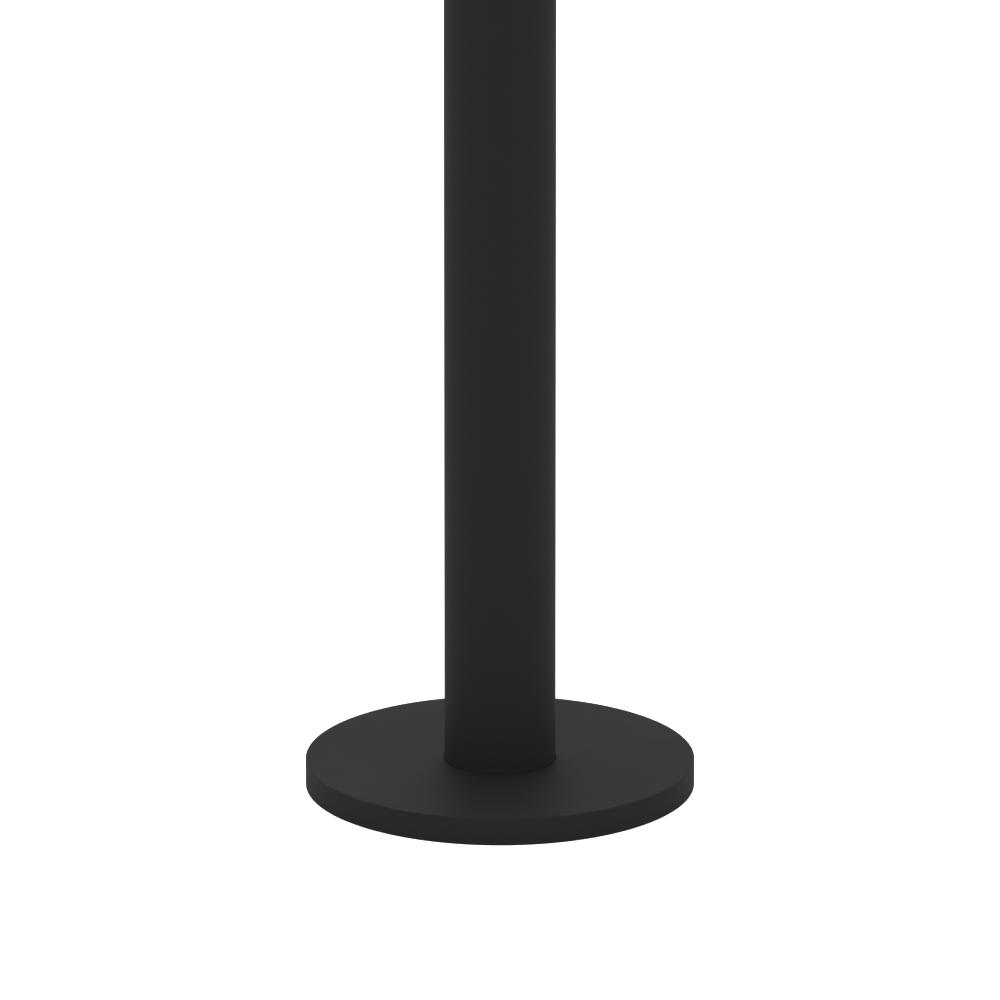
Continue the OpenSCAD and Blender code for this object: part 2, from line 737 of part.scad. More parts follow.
module minute_hand() color(black) difference() {
    union() {
        translate([0, 0, minute_hand_w]) rotate([0, 0, -60]) linear_extrude(hand_t)
            hand_outline(minute_reach, 78, 22, 11, 17);
        translate([0, 0, minute_hand_w - 3]) cylinder(r = 13, h = 9);
    }
    translate([0, 0, minute_hand_w - 4]) cylinder(r = arbor_r, h = arbor_end_w - minute_hand_w + 4);
}

module front_movement_frame() front() movement_frame();

module rear_movement_frame() rear() movement_frame();

module front_motor() front() motor();

module rear_motor() rear() motor();

module front_minute_arbor() front() minute_arbor();

module front_minute_hand() front() minute_hand();

module front_hour_wheel() front() hour_wheel();

module front_hour_hand() front() hour_hand();

module front_reduction_wheel() front() reduction_wheel();

module front_motor_pinion() front() motor_pinion();

module rear_minute_arbor() rear() minute_arbor();

module rear_minute_hand() rear() minute_hand();

module rear_hour_wheel() rear() hour_wheel();

module rear_hour_hand() rear() hour_hand();

module rear_reduction_wheel() rear() reduction_wheel();

module rear_motor_pinion() rear() motor_pinion();

anchor_flange();
post_tube();
base_cover();
cover_seal();
door_frame();
door_gasket();
door_hinge_leaves();
service_door();
door_lock_barrel();
door_lock_cam();
hinge_pins();
equipment_rail();
fused_cutout();
cutout_lid();
earth_stud();
supply_cable();
neck_spigot();
spigot_screws();
case_ring();
clamp_plate();
saddle_bolts();
backbone();
power_supply();
clock_controller();
drain_vents();
tray_brackets();
light_trays();
led_boards();
dial_pillars();
front_dial();
rear_dial();
dial_markers();
bezel_seals();
front_movement_frame();
rear_movement_frame();
front_motor();
rear_motor();
front_bezel();
front_glass();
front_glass_gasket();
front_glass_clips();
front_lock_cam();
rear_bezel();
rear_glass();
rear_glass_gasket();
rear_glass_clips();
rear_lock_cam();
front_minute_arbor();
front_minute_hand();
front_hour_wheel();
front_hour_hand();
front_reduction_wheel();
front_motor_pinion();
rear_minute_arbor();
rear_minute_hand();
rear_hour_wheel();
rear_hour_hand();
rear_reduction_wheel();
rear_motor_pinion();
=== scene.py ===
"""Looks of a post-mounted street clock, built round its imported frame.

Everything is in metres, +Z up, and the front dial faces -Y. On a face, x runs to the right,
y up the dial and z out of the case.
"""
import json
import logging
import math
from dataclasses import dataclass
from enum import Enum
from typing import Callable, Iterator, Sequence

import bmesh
import bpy
from mathutils import Matrix, Vector

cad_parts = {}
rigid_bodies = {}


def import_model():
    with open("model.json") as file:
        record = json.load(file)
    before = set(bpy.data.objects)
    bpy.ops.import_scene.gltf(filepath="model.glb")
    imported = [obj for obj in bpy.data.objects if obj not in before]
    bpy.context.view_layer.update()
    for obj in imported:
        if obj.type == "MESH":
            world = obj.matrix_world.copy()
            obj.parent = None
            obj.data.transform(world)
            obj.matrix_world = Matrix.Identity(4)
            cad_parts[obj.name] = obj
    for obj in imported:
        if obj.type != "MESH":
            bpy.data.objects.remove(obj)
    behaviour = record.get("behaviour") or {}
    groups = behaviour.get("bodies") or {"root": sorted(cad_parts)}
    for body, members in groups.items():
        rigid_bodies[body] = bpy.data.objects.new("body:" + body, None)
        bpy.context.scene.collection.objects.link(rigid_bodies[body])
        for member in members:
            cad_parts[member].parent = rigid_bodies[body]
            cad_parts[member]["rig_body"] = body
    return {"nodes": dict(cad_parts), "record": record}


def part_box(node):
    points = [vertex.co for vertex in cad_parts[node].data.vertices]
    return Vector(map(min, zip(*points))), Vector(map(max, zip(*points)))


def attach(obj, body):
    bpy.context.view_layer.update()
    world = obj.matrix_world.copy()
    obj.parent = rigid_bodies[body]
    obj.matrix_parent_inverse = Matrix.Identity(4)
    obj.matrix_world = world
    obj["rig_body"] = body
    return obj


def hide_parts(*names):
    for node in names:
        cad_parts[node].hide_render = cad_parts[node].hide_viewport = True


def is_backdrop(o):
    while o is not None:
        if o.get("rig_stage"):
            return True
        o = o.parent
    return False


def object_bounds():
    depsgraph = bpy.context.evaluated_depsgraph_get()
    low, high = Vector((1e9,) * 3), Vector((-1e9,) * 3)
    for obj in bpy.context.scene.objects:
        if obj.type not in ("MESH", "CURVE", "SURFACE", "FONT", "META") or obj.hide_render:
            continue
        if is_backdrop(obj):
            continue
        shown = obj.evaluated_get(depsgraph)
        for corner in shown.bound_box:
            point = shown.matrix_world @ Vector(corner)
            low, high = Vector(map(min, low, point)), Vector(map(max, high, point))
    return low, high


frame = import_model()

MM = 0.001
WHITE = (1.0, 1.0, 1.0, 1.0)
LOG = logging.getLogger("street_clock")

Point = tuple[float, float]
Colour = tuple[float, float, float]
Rounds = dict[int, float]
Solid = bmesh.types.BMesh
Socket = bpy.types.NodeSocket
Sockets = dict[str, Socket]


class Side(Enum):
    """The two faces of the clock."""

    FRONT = "front"
    REAR = "rear"

    @property
    def heading(self) -> float:
        """Turn of the face about the post, in radians."""
        return 0.0 if self is Side.FRONT else math.pi


class Cut(Enum):
    """What carving does with its tools."""

    AWAY = "DIFFERENCE"
    TO_SHAPE = "INTERSECT"


# ---------------------------------------------------------------- sizes read from the frame


@dataclass(frozen=True)
class Datum:
    """Main radii, heights and depths of the clock.

    Attributes:
        post_r: outside radius of the post tube.
        post_foot: height of the lower end of the post tube.
        post_top: height of the upper end of the post tube.
        flange_r: radius of the anchor flange.
        cover_r: radius of the base cover.
        cover_h: height of the base cover.
        hatch_z: height of the middle of the hand hole.
        dial_z: height of the middle of the dials.
        case_r: outside radius of the case.
        case_half: half depth of the case without its bezels.
        bezel_back: depth at which the bezels begin.
        bezel_front: depth of the bezels' front face.
        glass_back: depth of the back of the glass.
        glass_front: depth of the front of the glass.
        glass_r: radius of the glass.
        dial_back: depth of the back of the dial.
        dial_front: depth of the front of the dial.
        dial_r: radius of the dial.
        hour_w: depth of the back of the hour hand.
        minute_w: depth of the back of the minute hand.
    """

    post_r: float
    post_foot: float
    post_top: float
    flange_r: float
    cover_r: float
    cover_h: float
    hatch_z: float
    dial_z: float
    case_r: float
    case_half: float
    bezel_back: float
    bezel_front: float
    glass_back: float
    glass_front: float
    glass_r: float
    dial_back: float
    dial_front: float
    dial_r: float
    hour_w: float
    minute_w: float

    @classmethod
    def read(cls) -> "Datum":
        """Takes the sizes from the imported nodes, to a tenth of a millimetre.

        Returns:
            The sizes.
        """

        def low(node: str, axis: str) -> float:
            """Least coordinate of a node."""
            return round(getattr(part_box(node)[0], axis), 4)

        def high(node: str, axis: str) -> float:
            """Greatest coordinate of a node."""
            return round(getattr(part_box(node)[1], axis), 4)

        case_r = (high("case_ring", "z") - low("case_ring", "z")) / 2
        seal_t = 1.3 * MM
        bezel_gap = 1.5 * MM
        hand_t = 2.5 * MM
        cap_h = 6 * MM
        case_half = high("bezel_seals", "y") - seal_t
        return cls(
            post_r=high("post_tube", "y"),
            post_foot=low("post_tube", "z"),
            post_top=high("post_tube", "z"),
            flange_r=high("anchor_flange", "x"),
            cover_r=high("base_cover", "x"),
            cover_h=high("base_cover", "z"),
            hatch_z=(high("service_door", "z") + low("service_door", "z")) / 2,
            dial_z=high("case_ring", "z") - case_r,
            case_r=case_r,
            case_half=case_half,
            bezel_back=case_half + bezel_gap,
            bezel_front=high("rear_bezel", "y"),
            glass_back=low("rear_glass", "y"),
            glass_front=high("rear_glass", "y"),
            glass_r=high("rear_glass", "x"),
            dial_back=low("rear_dial", "y"),
            dial_front=high("rear_dial", "y"),
            dial_r=high("rear_dial", "x"),
            hour_w=high("rear_hour_hand", "y") - hand_t,
            minute_w=high("rear_minute_hand", "y") - cap_h,
        )

    def face(self, side: Side) -> Matrix:
        """Place of a face: x to the right, y up the dial, z out of the case.

        Args:
            side: which face.

        Returns:
            The matrix from the face's own frame to the clock's.
        """
        return Matrix.Rotation(side.heading, 4, "Z") @ shift(z=self.dial_z) @ about("X", 90)


# ---------------------------------------------------------------- places and shapes


def shift(x: float = 0.0, y: float = 0.0, z: float = 0.0) -> Matrix:
    """A shift."""
    return Matrix.Translation((x, y, z))


def about(axis: str, degrees: float) -> Matrix:
    """A turn about an axis through the origin."""
    return Matrix.Rotation(math.radians(degrees), 4, axis)


def spoke(bearing: float, height: float, out: float) -> Matrix:
    """Place beside the post, with z pointing away from the post's axis.

    Args:
        bearing: direction from the post, in degrees from +X.
        height: height above the ground.
        out: distance from the post's axis.

    Returns:
        The matrix of the place.
    """
    return shift(z=height) @ about("Z", bearing - 90) @ about("X", -90) @ shift(z=out)


def wire_loop(points: Sequence[Vector], rounds: Rounds, segments: int, closed: bool = True) -> Solid:
    """Draws an outline and rounds some of its corners.

    Args:
        points: the corners in order.
        rounds: distance from a corner at which its rounding begins, by index.
        segments: faces across each rounding.
        closed: whether the last corner joins the first.

    Returns:
        A bmesh of edges.
    """
    bm = bmesh.new()
    corners = [bm.verts.new(p) for p in points]
    for a, b in zip(corners, corners[1:] + corners[:1] if closed else corners[1:]):
        bm.edges.new((a, b))
    for index, size in rounds.items():
        bmesh.ops.bevel(bm, geom=[corners[index]], offset=size, offset_type="OFFSET", segments=segments,
                        profile=0.5, affect="VERTICES", material=-1)
    return bm


def turned(points: Sequence[Point], rounds: Rounds | None = None, steps: int = 96,
           segments: int = 3) -> Solid:
    """Turns a profile about Z.

    Args:
        points: radius and height of each corner. A profile with both ends on the axis stays open there.
        rounds: distance from a corner at which its rounding begins, by index.
        steps: faces round the turn.
        segments: faces across each rounding.

    Returns:
        A closed solid.
    """
    on_axis = points[0][0] == 0 and points[-1][0] == 0
    bm = wire_loop([Vector((r, 0, z)) for r, z in points], rounds or {}, segments, closed=not on_axis)
    bmesh.ops.spin(bm, geom=bm.verts[:] + bm.edges[:], cent=(0, 0, 0), axis=(0, 0, 1), dvec=(0, 0, 0),
                   angle=math.tau, steps=steps, use_merge=True)
    bmesh.ops.remove_doubles(bm, verts=bm.verts[:], dist=1e-7)
    bmesh.ops.recalc_face_normals(bm, faces=bm.faces[:])
    return bm


def band(inner: float, outer: float, low: float, high: float, rounds: Rounds | None = None,
         steps: int = 96) -> Solid:
    """A disc, ring or tube of rectangular section.

    Args:
        inner: inside radius, or nought.
        outer: outside radius.
        low: lower height.
        high: upper height.
        rounds: size of each rounded corner, counted from the lower inside one by way of the outside.
        steps: faces round the turn.

    Returns:
        A closed solid.
    """
    return turned([(inner, low), (outer, low), (outer, high), (inner, high)], rounds, steps)


def arc_slab(inner: float, outer: float, start: float, end: float, low: float, high: float,
             steps: int = 24) -> Solid:
    """Part of a tube's wall.

    Args:
        inner: inside radius.
        outer: outside radius.
        start: bearing of one edge, in degrees from +X.
        end: bearing of the other edge.
        low: lower height.
        high: upper height.
        steps: faces round the arc.

    Returns:
        A closed solid.
    """
    corners = [(inner, low), (outer, low), (outer, high), (inner, high)]
    bm = wire_loop([Vector((r, 0, z)) for r, z in corners], {}, 1)
    bmesh.ops.contextual_create(bm, geom=bm.edges[:])
    placed(bm, about("Z", start))
    bmesh.ops.spin(bm, geom=bm.verts[:] + bm.edges[:] + bm.faces[:], cent=(0, 0, 0), axis=(0, 0, 1),
                   dvec=(0, 0, 0), angle=math.radians(end - start), steps=steps)
    bmesh.ops.recalc_face_normals(bm, faces=bm.faces[:])
    return bm


def plate(points: Sequence[Point], thickness: float, rounds: Rounds | None = None, segments: int = 5,
          holes: Sequence[tuple[Point, float]] = ()) -> Solid:
    """A flat plate from z = 0 up, with round holes.

    Args:
        points: corners of the outline.
        thickness: height of the plate.
        rounds: distance from a corner at which its rounding begins, by index.
        segments: faces across each rounding.
        holes: centre and radius of each hole.

    Returns:
        A closed solid.
    """
    bm = wire_loop([Vector((x, y, 0)) for x, y in points], rounds or {}, segments)
    for (x, y), radius in holes:
        bmesh.ops.create_circle(bm, cap_ends=False, segments=32, radius=radius, matrix=shift(x, y))
    if holes:
        bmesh.ops.triangle_fill(bm, use_beauty=True, edges=bm.edges[:])
    else:
        bmesh.ops.contextual_create(bm, geom=bm.edges[:])
    grown = bmesh.ops.extrude_face_region(bm, geom=bm.faces[:])
    top = [item for item in grown["geom"] if isinstance(item, bmesh.types.BMVert)]
    bmesh.ops.translate(bm, vec=(0, 0, thickness), verts=top)
    bmesh.ops.recalc_face_normals(bm, faces=bm.faces[:])
    return bm


def box_corners(width: float, height: float) -> list[Point]:
    """Corners of a rectangle about the origin, anticlockwise."""
    return [(x * width / 2, y * height / 2) for x, y in ((-1, -1), (1, -1), (1, 1), (-1, 1))]


def every_corner(size: float) -> Rounds:
    """The same rounding at the four corners of a rectangle."""
    return {i: size for i in range(4)}


def slab(width: float, height: float, thickness: float, corner: float = 0.0, edge: float = 0.0) -> Solid:
    """A rectangular block from z = 0 up.

    Args:
        width: size along x.
        height: size along y.
        thickness: size along z.
        corner: rounding of the upright corners.
        edge: softening of all the sharp edges.

    Returns:
        A closed solid.
    """
    bm = plate(box_corners(width, height), thickness, every_corner(corner) if corner else {})
    return soften(bm, edge) if edge else bm


def bar(radius: float, length: float, edge: float = 0.0, steps: int = 32, bore: float = 0.0) -> Solid:
    """A round bar or tube along z, from z = 0 up, with rounded ends."""
    return band(bore, radius, 0.0, length, {1: edge, 2: edge} if edge else {}, steps)


def hexagon(across: float, height: float, edge: float) -> Solid:
    """A hexagonal head or nut from z = 0 up, with its edges softened."""
    radius = across / 2 / math.cos(math.pi / 6)
    points = [(radius * math.cos(math.tau * i / 6), radius * math.sin(math.tau * i / 6)) for i in range(6)]
    return soften(plate(points, height), edge)


def soften(bm: Solid, width: float, segments: int = 2, angle: float = 35.0) -> Solid:
    """Bevels every edge that is sharper than an angle.

    Args:
        bm: the solid, which is changed.
        width: width of the bevel.
        segments: faces across the bevel.
        angle: least angle between the two faces, in degrees.

    Returns:
        The same solid.
    """
    sharp = [e for e in bm.edges if len(e.link_faces) == 2 and e.calc_face_angle(0.0) > math.radians(angle)]
    bmesh.ops.bevel(bm, geom=sharp, offset=width, offset_type="OFFSET", segments=segments, profile=0.5,
                    affect="EDGES", clamp_overlap=True, material=-1)
    return bm


def moved(bm: Solid, x: float = 0.0, y: float = 0.0, z: float = 0.0) -> Solid:
    """Shifts a solid."""
    return placed(bm, shift(x, y, z))


def placed(bm: Solid, matrix: Matrix) -> Solid:
    """Puts a solid in its place."""
    bmesh.ops.transform(bm, matrix=matrix, verts=bm.verts[:])
    return bm


def joined(parts: Sequence[Solid]) -> Solid:
    """Gathers several solids into one bmesh and frees them."""
    whole = bmesh.new()
    for part in parts:
        mesh = bpy.data.meshes.new("part")
        part.to_mesh(mesh)
        part.free()
        whole.from_mesh(mesh)
        bpy.data.meshes.remove(mesh)
    return whole


def around(make: Callable[[], Solid], count: int, start: float = 0.0) -> Solid:
    """Copies of a solid, turned in equal steps about Z.

    Args:
        make: builds one copy.
        count: number of copies.
        start: bearing of the first, in degrees.

    Returns:
        The copies together.
    """
    turns = [Matrix.Rotation(math.radians(start) + math.tau * i / count, 4, "Z") for i in range(count)]
    return joined([placed(make(), turn) for turn in turns])


def carved(bm: Solid, tools: Sequence[Solid], cut: Cut = Cut.AWAY) -> Solid:
    """Cuts a solid with other solids.

    Args:
        bm: the solid.
        tools: the cutting solids.
        cut: whether the tools are cut away or kept.

    Returns:
        The result. The solid and its tools are freed.
    """
    things = []
    for part in [bm, *tools]:
        mesh = bpy.data.meshes.new("part")
        part.to_mesh(mesh)
        part.free()
        thing = bpy.data.objects.new("part", mesh)
        bpy.context.scene.collection.objects.link(thing)
        things.append(thing)
    for tool in things[1:]:
        modifier = things[0].modifiers.new("cut", "BOOLEAN")
        modifier.operation = cut.value
        modifier.solver = "EXACT"
        modifier.object = tool
    shape = bpy.data.meshes.new_from_object(things[0].evaluated_get(bpy.context.evaluated_depsgraph_get()))
    result = bmesh.new()
    result.from_mesh(shape)
    for mesh in [shape, *[thing.data for thing in things]]:
        bpy.data.meshes.remove(mesh)
    bmesh.ops.remove_doubles(result, verts=result.verts[:], dist=1e-6)
    bmesh.ops.recalc_face_normals(result, faces=result.faces[:])
    return result


# ---------------------------------------------------------------- finishes


class Wiring:
    """Adds nodes to one tree and joins them."""

    def __init__(self, tree: bpy.types.NodeTree) -> None:
        """Keeps the tree."""
        self.tree = tree

    def feed(self, node: bpy.types.Node, inputs: dict[str | int, object]) -> None:
        """Links another node's output to each named input, or sets it to a value.

        Args:
            node: the node to feed.
            inputs: the output or value of each named input.
        """
        for name, value in inputs.items():
            if isinstance(value, Socket):
                self.tree.links.new(value, node.inputs[name])
            else:
                node.inputs[name].default_value = value

    def node(self, kind: str, inputs: dict[str | int, object] | None = None,
             **settings: object) -> bpy.types.Node:
        """Adds a node.

        Args:
            kind: the node's type.
            inputs: a value or another node's output for each named input.
            settings: the node's own properties.

        Returns:
            The node.
        """
        made = self.tree.nodes.new(kind)
        for name, value in settings.items():
            setattr(made, name, value)
        self.feed(made, inputs or {})
        return made

    def maths(self, operation: str, a: object, b: object = 0.0) -> Socket:
        """Works out one number from two."""
        return self.node("ShaderNodeMath", {0: a, 1: b}, operation=operation).outputs[0]

    def ranged(self, value: object, low: float, high: float, to_low: float, to_high: float) -> Socket:
        """Maps a number from one range to another, and holds it there."""
        inputs = {"Value": value, "From Min": low, "From Max": high, "To Min": to_low, "To Max": to_high}
        return self.node("ShaderNodeMapRange", inputs).outputs["Result"]

    def mixed(self, share: object, a: object, b: object, blend: str = "MIX") -> Socket:
        """Mixes two colours."""
        made = self.node("ShaderNodeMix", {"Factor": share}, data_type="RGBA", blend_type=blend)
        for name, value in (("A", a), ("B", b)):
            socket = next(s for s in made.inputs if s.name == name and s.type == "RGBA")
            if isinstance(value, Socket):
                self.tree.links.new(value, socket)
            else:
                socket.default_value = value
        return next(s for s in made.outputs if s.type == "RGBA")

    def noise(self, place: Socket, scale: object, detail: float = 2.0, roughness: float = 0.5) -> Socket:
        """A noise between 0 and 1."""
        inputs = {"Vector": place, "Scale": scale, "Detail": detail, "Roughness": roughness}
        return self.node("ShaderNodeTexNoise", inputs).outputs[0]

    def bump(self, height: Socket, strength: float, depth: float) -> Socket:
        """Turns a height into a surface normal."""
        inputs = {"Height": height, "Strength": strength, "Distance": depth}
        return self.node("ShaderNodeBump", inputs).outputs["Normal"]


def rgba(colour: Colour) -> tuple[float, float, float, float]:
    """A colour with full alpha."""
    return (*colour, 1.0)


def effect(name: str, inputs: dict[str, float], outputs: dict[str, str],
           build: Callable[[Wiring, Sockets], Sockets]) -> bpy.types.NodeTree:
    """Makes a shared effect as a node group, or finds it if it is there.

    Args:
        name: the group's name.
        inputs: name and default of each number that goes in, after the place.
        outputs: name and socket type of each result.
        build: wires the inside from the input sockets, and returns the output sockets.

    Returns:
        The node group.
    """
    if name in bpy.data.node_groups:
        return bpy.data.node_groups[name]
    tree = bpy.data.node_groups.new(name, "ShaderNodeTree")
    tree.interface.new_socket("Place", in_out="INPUT", socket_type="NodeSocketVector")
    for label, default in inputs.items():
        socket = tree.interface.new_socket(label, in_out="INPUT", socket_type="NodeSocketFloat")
        socket.default_value = default
    for label, kind in outputs.items():
        tree.interface.new_socket(label, in_out="OUTPUT", socket_type=kind)
    wiring = Wiring(tree)
    entry = wiring.node("NodeGroupInput")
    leave = wiring.node("NodeGroupOutput")
    for label, socket in build(wiring, {s.name: s for s in entry.outputs if s.name}).items():
        tree.links.new(socket, leave.inputs[label])
    return tree


def grain_effect() -> bpy.types.NodeTree:
    """Fine irregular texture of a sprayed or moulded surface, as a height and a mottle."""

    def build(w: Wiring, given: Sockets) -> Sockets:
        """Wires the inside of the group."""
        fine = w.noise(given["Place"], given["Scale"], 3.0, 0.6)
        broad = w.noise(given["Place"], w.maths("MULTIPLY", given["Scale"], 0.23), 1.0)
        height = w.maths("ADD", w.maths("MULTIPLY", fine, 0.6), w.maths("MULTIPLY", broad, 0.4))
        mottle = w.noise(given["Place"], given["Mottle Scale"], 4.0, 0.55)
        return {"Height": height, "Mottle": w.ranged(mottle, 0.3, 0.7, 0.0, 1.0)}

    return effect("Fine grain", {"Scale": 600.0, "Mottle Scale": 9.0},
                  {"Height": "NodeSocketFloat", "Mottle": "NodeSocketFloat"}, build)


def dust_effect() -> bpy.types.NodeTree:
    """Dust that settles on upward faces and splashes up from the ground, as a mask."""

    def build(w: Wiring, given: Sockets) -> Sockets:
        """Wires the inside of the group."""
        normal = w.node("ShaderNodeNewGeometry").outputs["Normal"]
        facing = w.node("ShaderNodeSeparateXYZ", {0: normal}).outputs["Z"]
        height = w.node("ShaderNodeSeparateXYZ", {0: given["Place"]}).outputs["Z"]
        upward = w.ranged(facing, 0.3, 1.0, 0.0, 1.0)
        splash = w.ranged(height, 0.0, given["Splash Height"], 0.6, 0.0)
        patch = w.ranged(w.noise(given["Place"], given["Scale"], 5.0, 0.65), 0.35, 0.7, 0.15, 1.0)
        share = w.maths("MULTIPLY", w.maths("MAXIMUM", upward, splash), patch)
        return {"Mask": w.maths("MULTIPLY", share, given["Amount"])}

    return effect("Settled dust", {"Scale": 40.0, "Amount": 0.3, "Splash Height": 0.25},
                  {"Mask": "NodeSocketFloat"}, build)


def brushed_effect() -> bpy.types.NodeTree:
    """Fine lines left by rolling or brushing, as a height, with a cloudy tone."""

    def build(w: Wiring, given: Sockets) -> Sockets:
        """Wires the inside of the group."""
        mapping = {"Vector": given["Place"], "Scale": (1.0, 1.0, 0.03)}
        stretched = w.node("ShaderNodeMapping", mapping).outputs[0]
        lines = w.noise(stretched, given["Scale"], 2.0)
        cloud = w.noise(given["Place"], given["Cloud Scale"], 3.0)
        return {"Height": lines, "Cloud": w.ranged(cloud, 0.3, 0.7, 0.0, 1.0)}

    return effect("Brushed metal", {"Scale": 1500.0, "Cloud Scale": 60.0},
                  {"Height": "NodeSocketFloat", "Cloud": "NodeSocketFloat"}, build)


@dataclass(frozen=True)
class Finish:
    """A surface finish, named after the slot it dresses.

    Attributes:
        slot: the record's material slot.
        colour: base colour.
        roughness: mean roughness.
    """

    slot: str
    colour: Colour
    roughness: float

    def start(self) -> tuple[bpy.types.Material, Wiring, bpy.types.Node, Socket]:
        """Makes an empty material.

        Returns:
            The material, its wiring, its main shader and the place on the object.
        """
        material = bpy.data.materials.new(self.slot)
        material.use_nodes = True
        wiring = Wiring(material.node_tree)
        shader = material.node_tree.nodes["Principled BSDF"]
        shader.inputs["Roughness"].default_value = self.roughness
        return material, wiring, shader, wiring.node("ShaderNodeTexCoord").outputs["Object"]

    def build(self) -> bpy.types.Material:
        """Makes the material."""
        raise NotImplementedError


@dataclass(frozen=True)
class Grained(Finish):
    """Paint, rubber or moulded plastic: one colour with a fine grain, a mottle and some dust.

    Attributes:
        grain: noise scale of the grain.
        depth: height of the grain.
        mottle: share by which the tone varies.
        dust: share of dust.
        metallic: whether the surface under the tone is metal.
        ior: refractive index of the surface.
        dust_colour: colour of the dust.
    """

    grain: float = 600.0
    depth: float = 0.03 * MM
    mottle: float = 0.12
    dust: float = 0.0
    metallic: float = 0.0
    ior: float = 1.5
    dust_colour: Colour = (0.16, 0.15, 0.135)

    def build(self) -> bpy.types.Material:
        """Makes the material.

        Returns:
            The material.
        """
        material, w, shader, place = self.start()
        grain = w.node("ShaderNodeGroup", {"Place": place, "Scale": self.grain}, node_tree=grain_effect())
        light = tuple(min(1.0, c * (1 + self.mottle)) for c in self.colour)
        dark = tuple(c * (1 - self.mottle) for c in self.colour)
        tone = w.mixed(grain.outputs["Mottle"], rgba(dark), rgba(light))
        rough = w.ranged(grain.outputs["Mottle"], 0.0, 1.0, self.roughness - 0.03, self.roughness + 0.03)
        if self.dust:
            dust = w.node("ShaderNodeGroup", {"Place": place, "Amount": self.dust}, node_tree=dust_effect())
            tone = w.mixed(dust.outputs["Mask"], tone, rgba(self.dust_colour))
            rough = w.maths("ADD", rough, w.maths("MULTIPLY", dust.outputs["Mask"], 0.2))
        w.feed(shader, {"Base Color": tone, "Roughness": rough, "Metallic": self.metallic, "IOR": self.ior,
                        "Normal": w.bump(grain.outputs["Height"], 0.6, self.depth)})
        return material


@dataclass(frozen=True)
class Worked(Finish):
    """Bare metal with fine lines and a cloudy tone.

    Attributes:
        cloud: share by which the tone varies.
        depth: height of the lines.
    """

    cloud: float = 0.15
    depth: float = 0.008 * MM

    def build(self) -> bpy.types.Material:
        """Makes the material.

        Returns:
            The material.
        """
        material, w, shader, place = self.start()
        brushed = w.node("ShaderNodeGroup", {"Place": place}, node_tree=brushed_effect())
        dark = tuple(c * (1 - self.cloud) for c in self.colour)
        tone = w.mixed(brushed.outputs["Cloud"], rgba(dark), rgba(self.colour))
        rough = w.ranged(brushed.outputs["Cloud"], 0.0, 1.0, self.roughness + 0.08, self.roughness - 0.04)
        w.feed(shader, {"Base Color": tone, "Roughness": rough, "Metallic": 1.0,
                        "Normal": w.bump(brushed.outputs["Height"], 0.4, self.depth)})
        return material


@dataclass(frozen=True)
class LitOpal(Finish):
    """Opal acrylic lit from behind, a little brighter over the rings of lamps.

    Attributes:
        glow: strength of the light that comes through.
        centre: middle of the dials.
        reach: radius over which the light falls away.
    """

    glow: float = 0.5
    centre: Vector = Vector((0, 0, 0))
    reach: float = 0.36

    def build(self) -> bpy.types.Material:
        """Makes the material.

        Returns:
            The material.
        """
        material, w, shader, place = self.start()
        mapping = {"Vector": place, "Location": -self.centre}
        local = w.node("ShaderNodeMapping", mapping, vector_type="POINT").outputs[0]
        away = w.node("ShaderNodeVectorMath", {0: local}, operation="LENGTH").outputs["Value"]
        fall = w.ranged(away, 0.0, self.reach, 1.0, 0.84)
        cloud = w.ranged(w.noise(place, 14.0, 2.0), 0.3, 0.7, 0.985, 1.0)
        lit = w.mixed(w.maths("MULTIPLY", fall, cloud), (0.0, 0.0, 0.0, 1.0), rgba(self.colour))
        speck = w.noise(place, 900.0, 2.0)
        rough = w.ranged(speck, 0.3, 0.7, self.roughness - 0.03, self.roughness + 0.03)
        w.feed(shader, {"Base Color": rgba(self.colour), "Roughness": rough, "Emission Color": lit,
                        "Emission Strength": self.glow, "Normal": w.bump(speck, 0.15, 0.01 * MM)})
        return material


@dataclass(frozen=True)
class ClearPane(Finish):
    """Clear toughened glass with the faintest film on it. Shadows pass through it."""

    def build(self) -> bpy.types.Material:
        """Makes the material.

        Returns:
            The material.
        """
        material, w, shader, place = self.start()
        film = w.ranged(w.noise(place, 11.0, 4.0), 0.45, 0.75, 0.0, self.roughness)
        tint = rgba(self.colour)
        w.feed(shader, {"Base Color": tint, "Roughness": film, "IOR": 1.5, "Transmission Weight": 1.0})
        clear = w.node("ShaderNodeBsdfTransparent", {"Color": tint})
        shadow = w.node("ShaderNodeLightPath").outputs["Is Shadow Ray"]
        blend = w.node("ShaderNodeMixShader", {0: shadow, 1: shader.outputs[0], 2: clear.outputs[0]})
        output = next(n for n in w.tree.nodes if n.type == "OUTPUT_MATERIAL")
        w.tree.links.new(blend.outputs[0], output.inputs["Surface"])
        return material


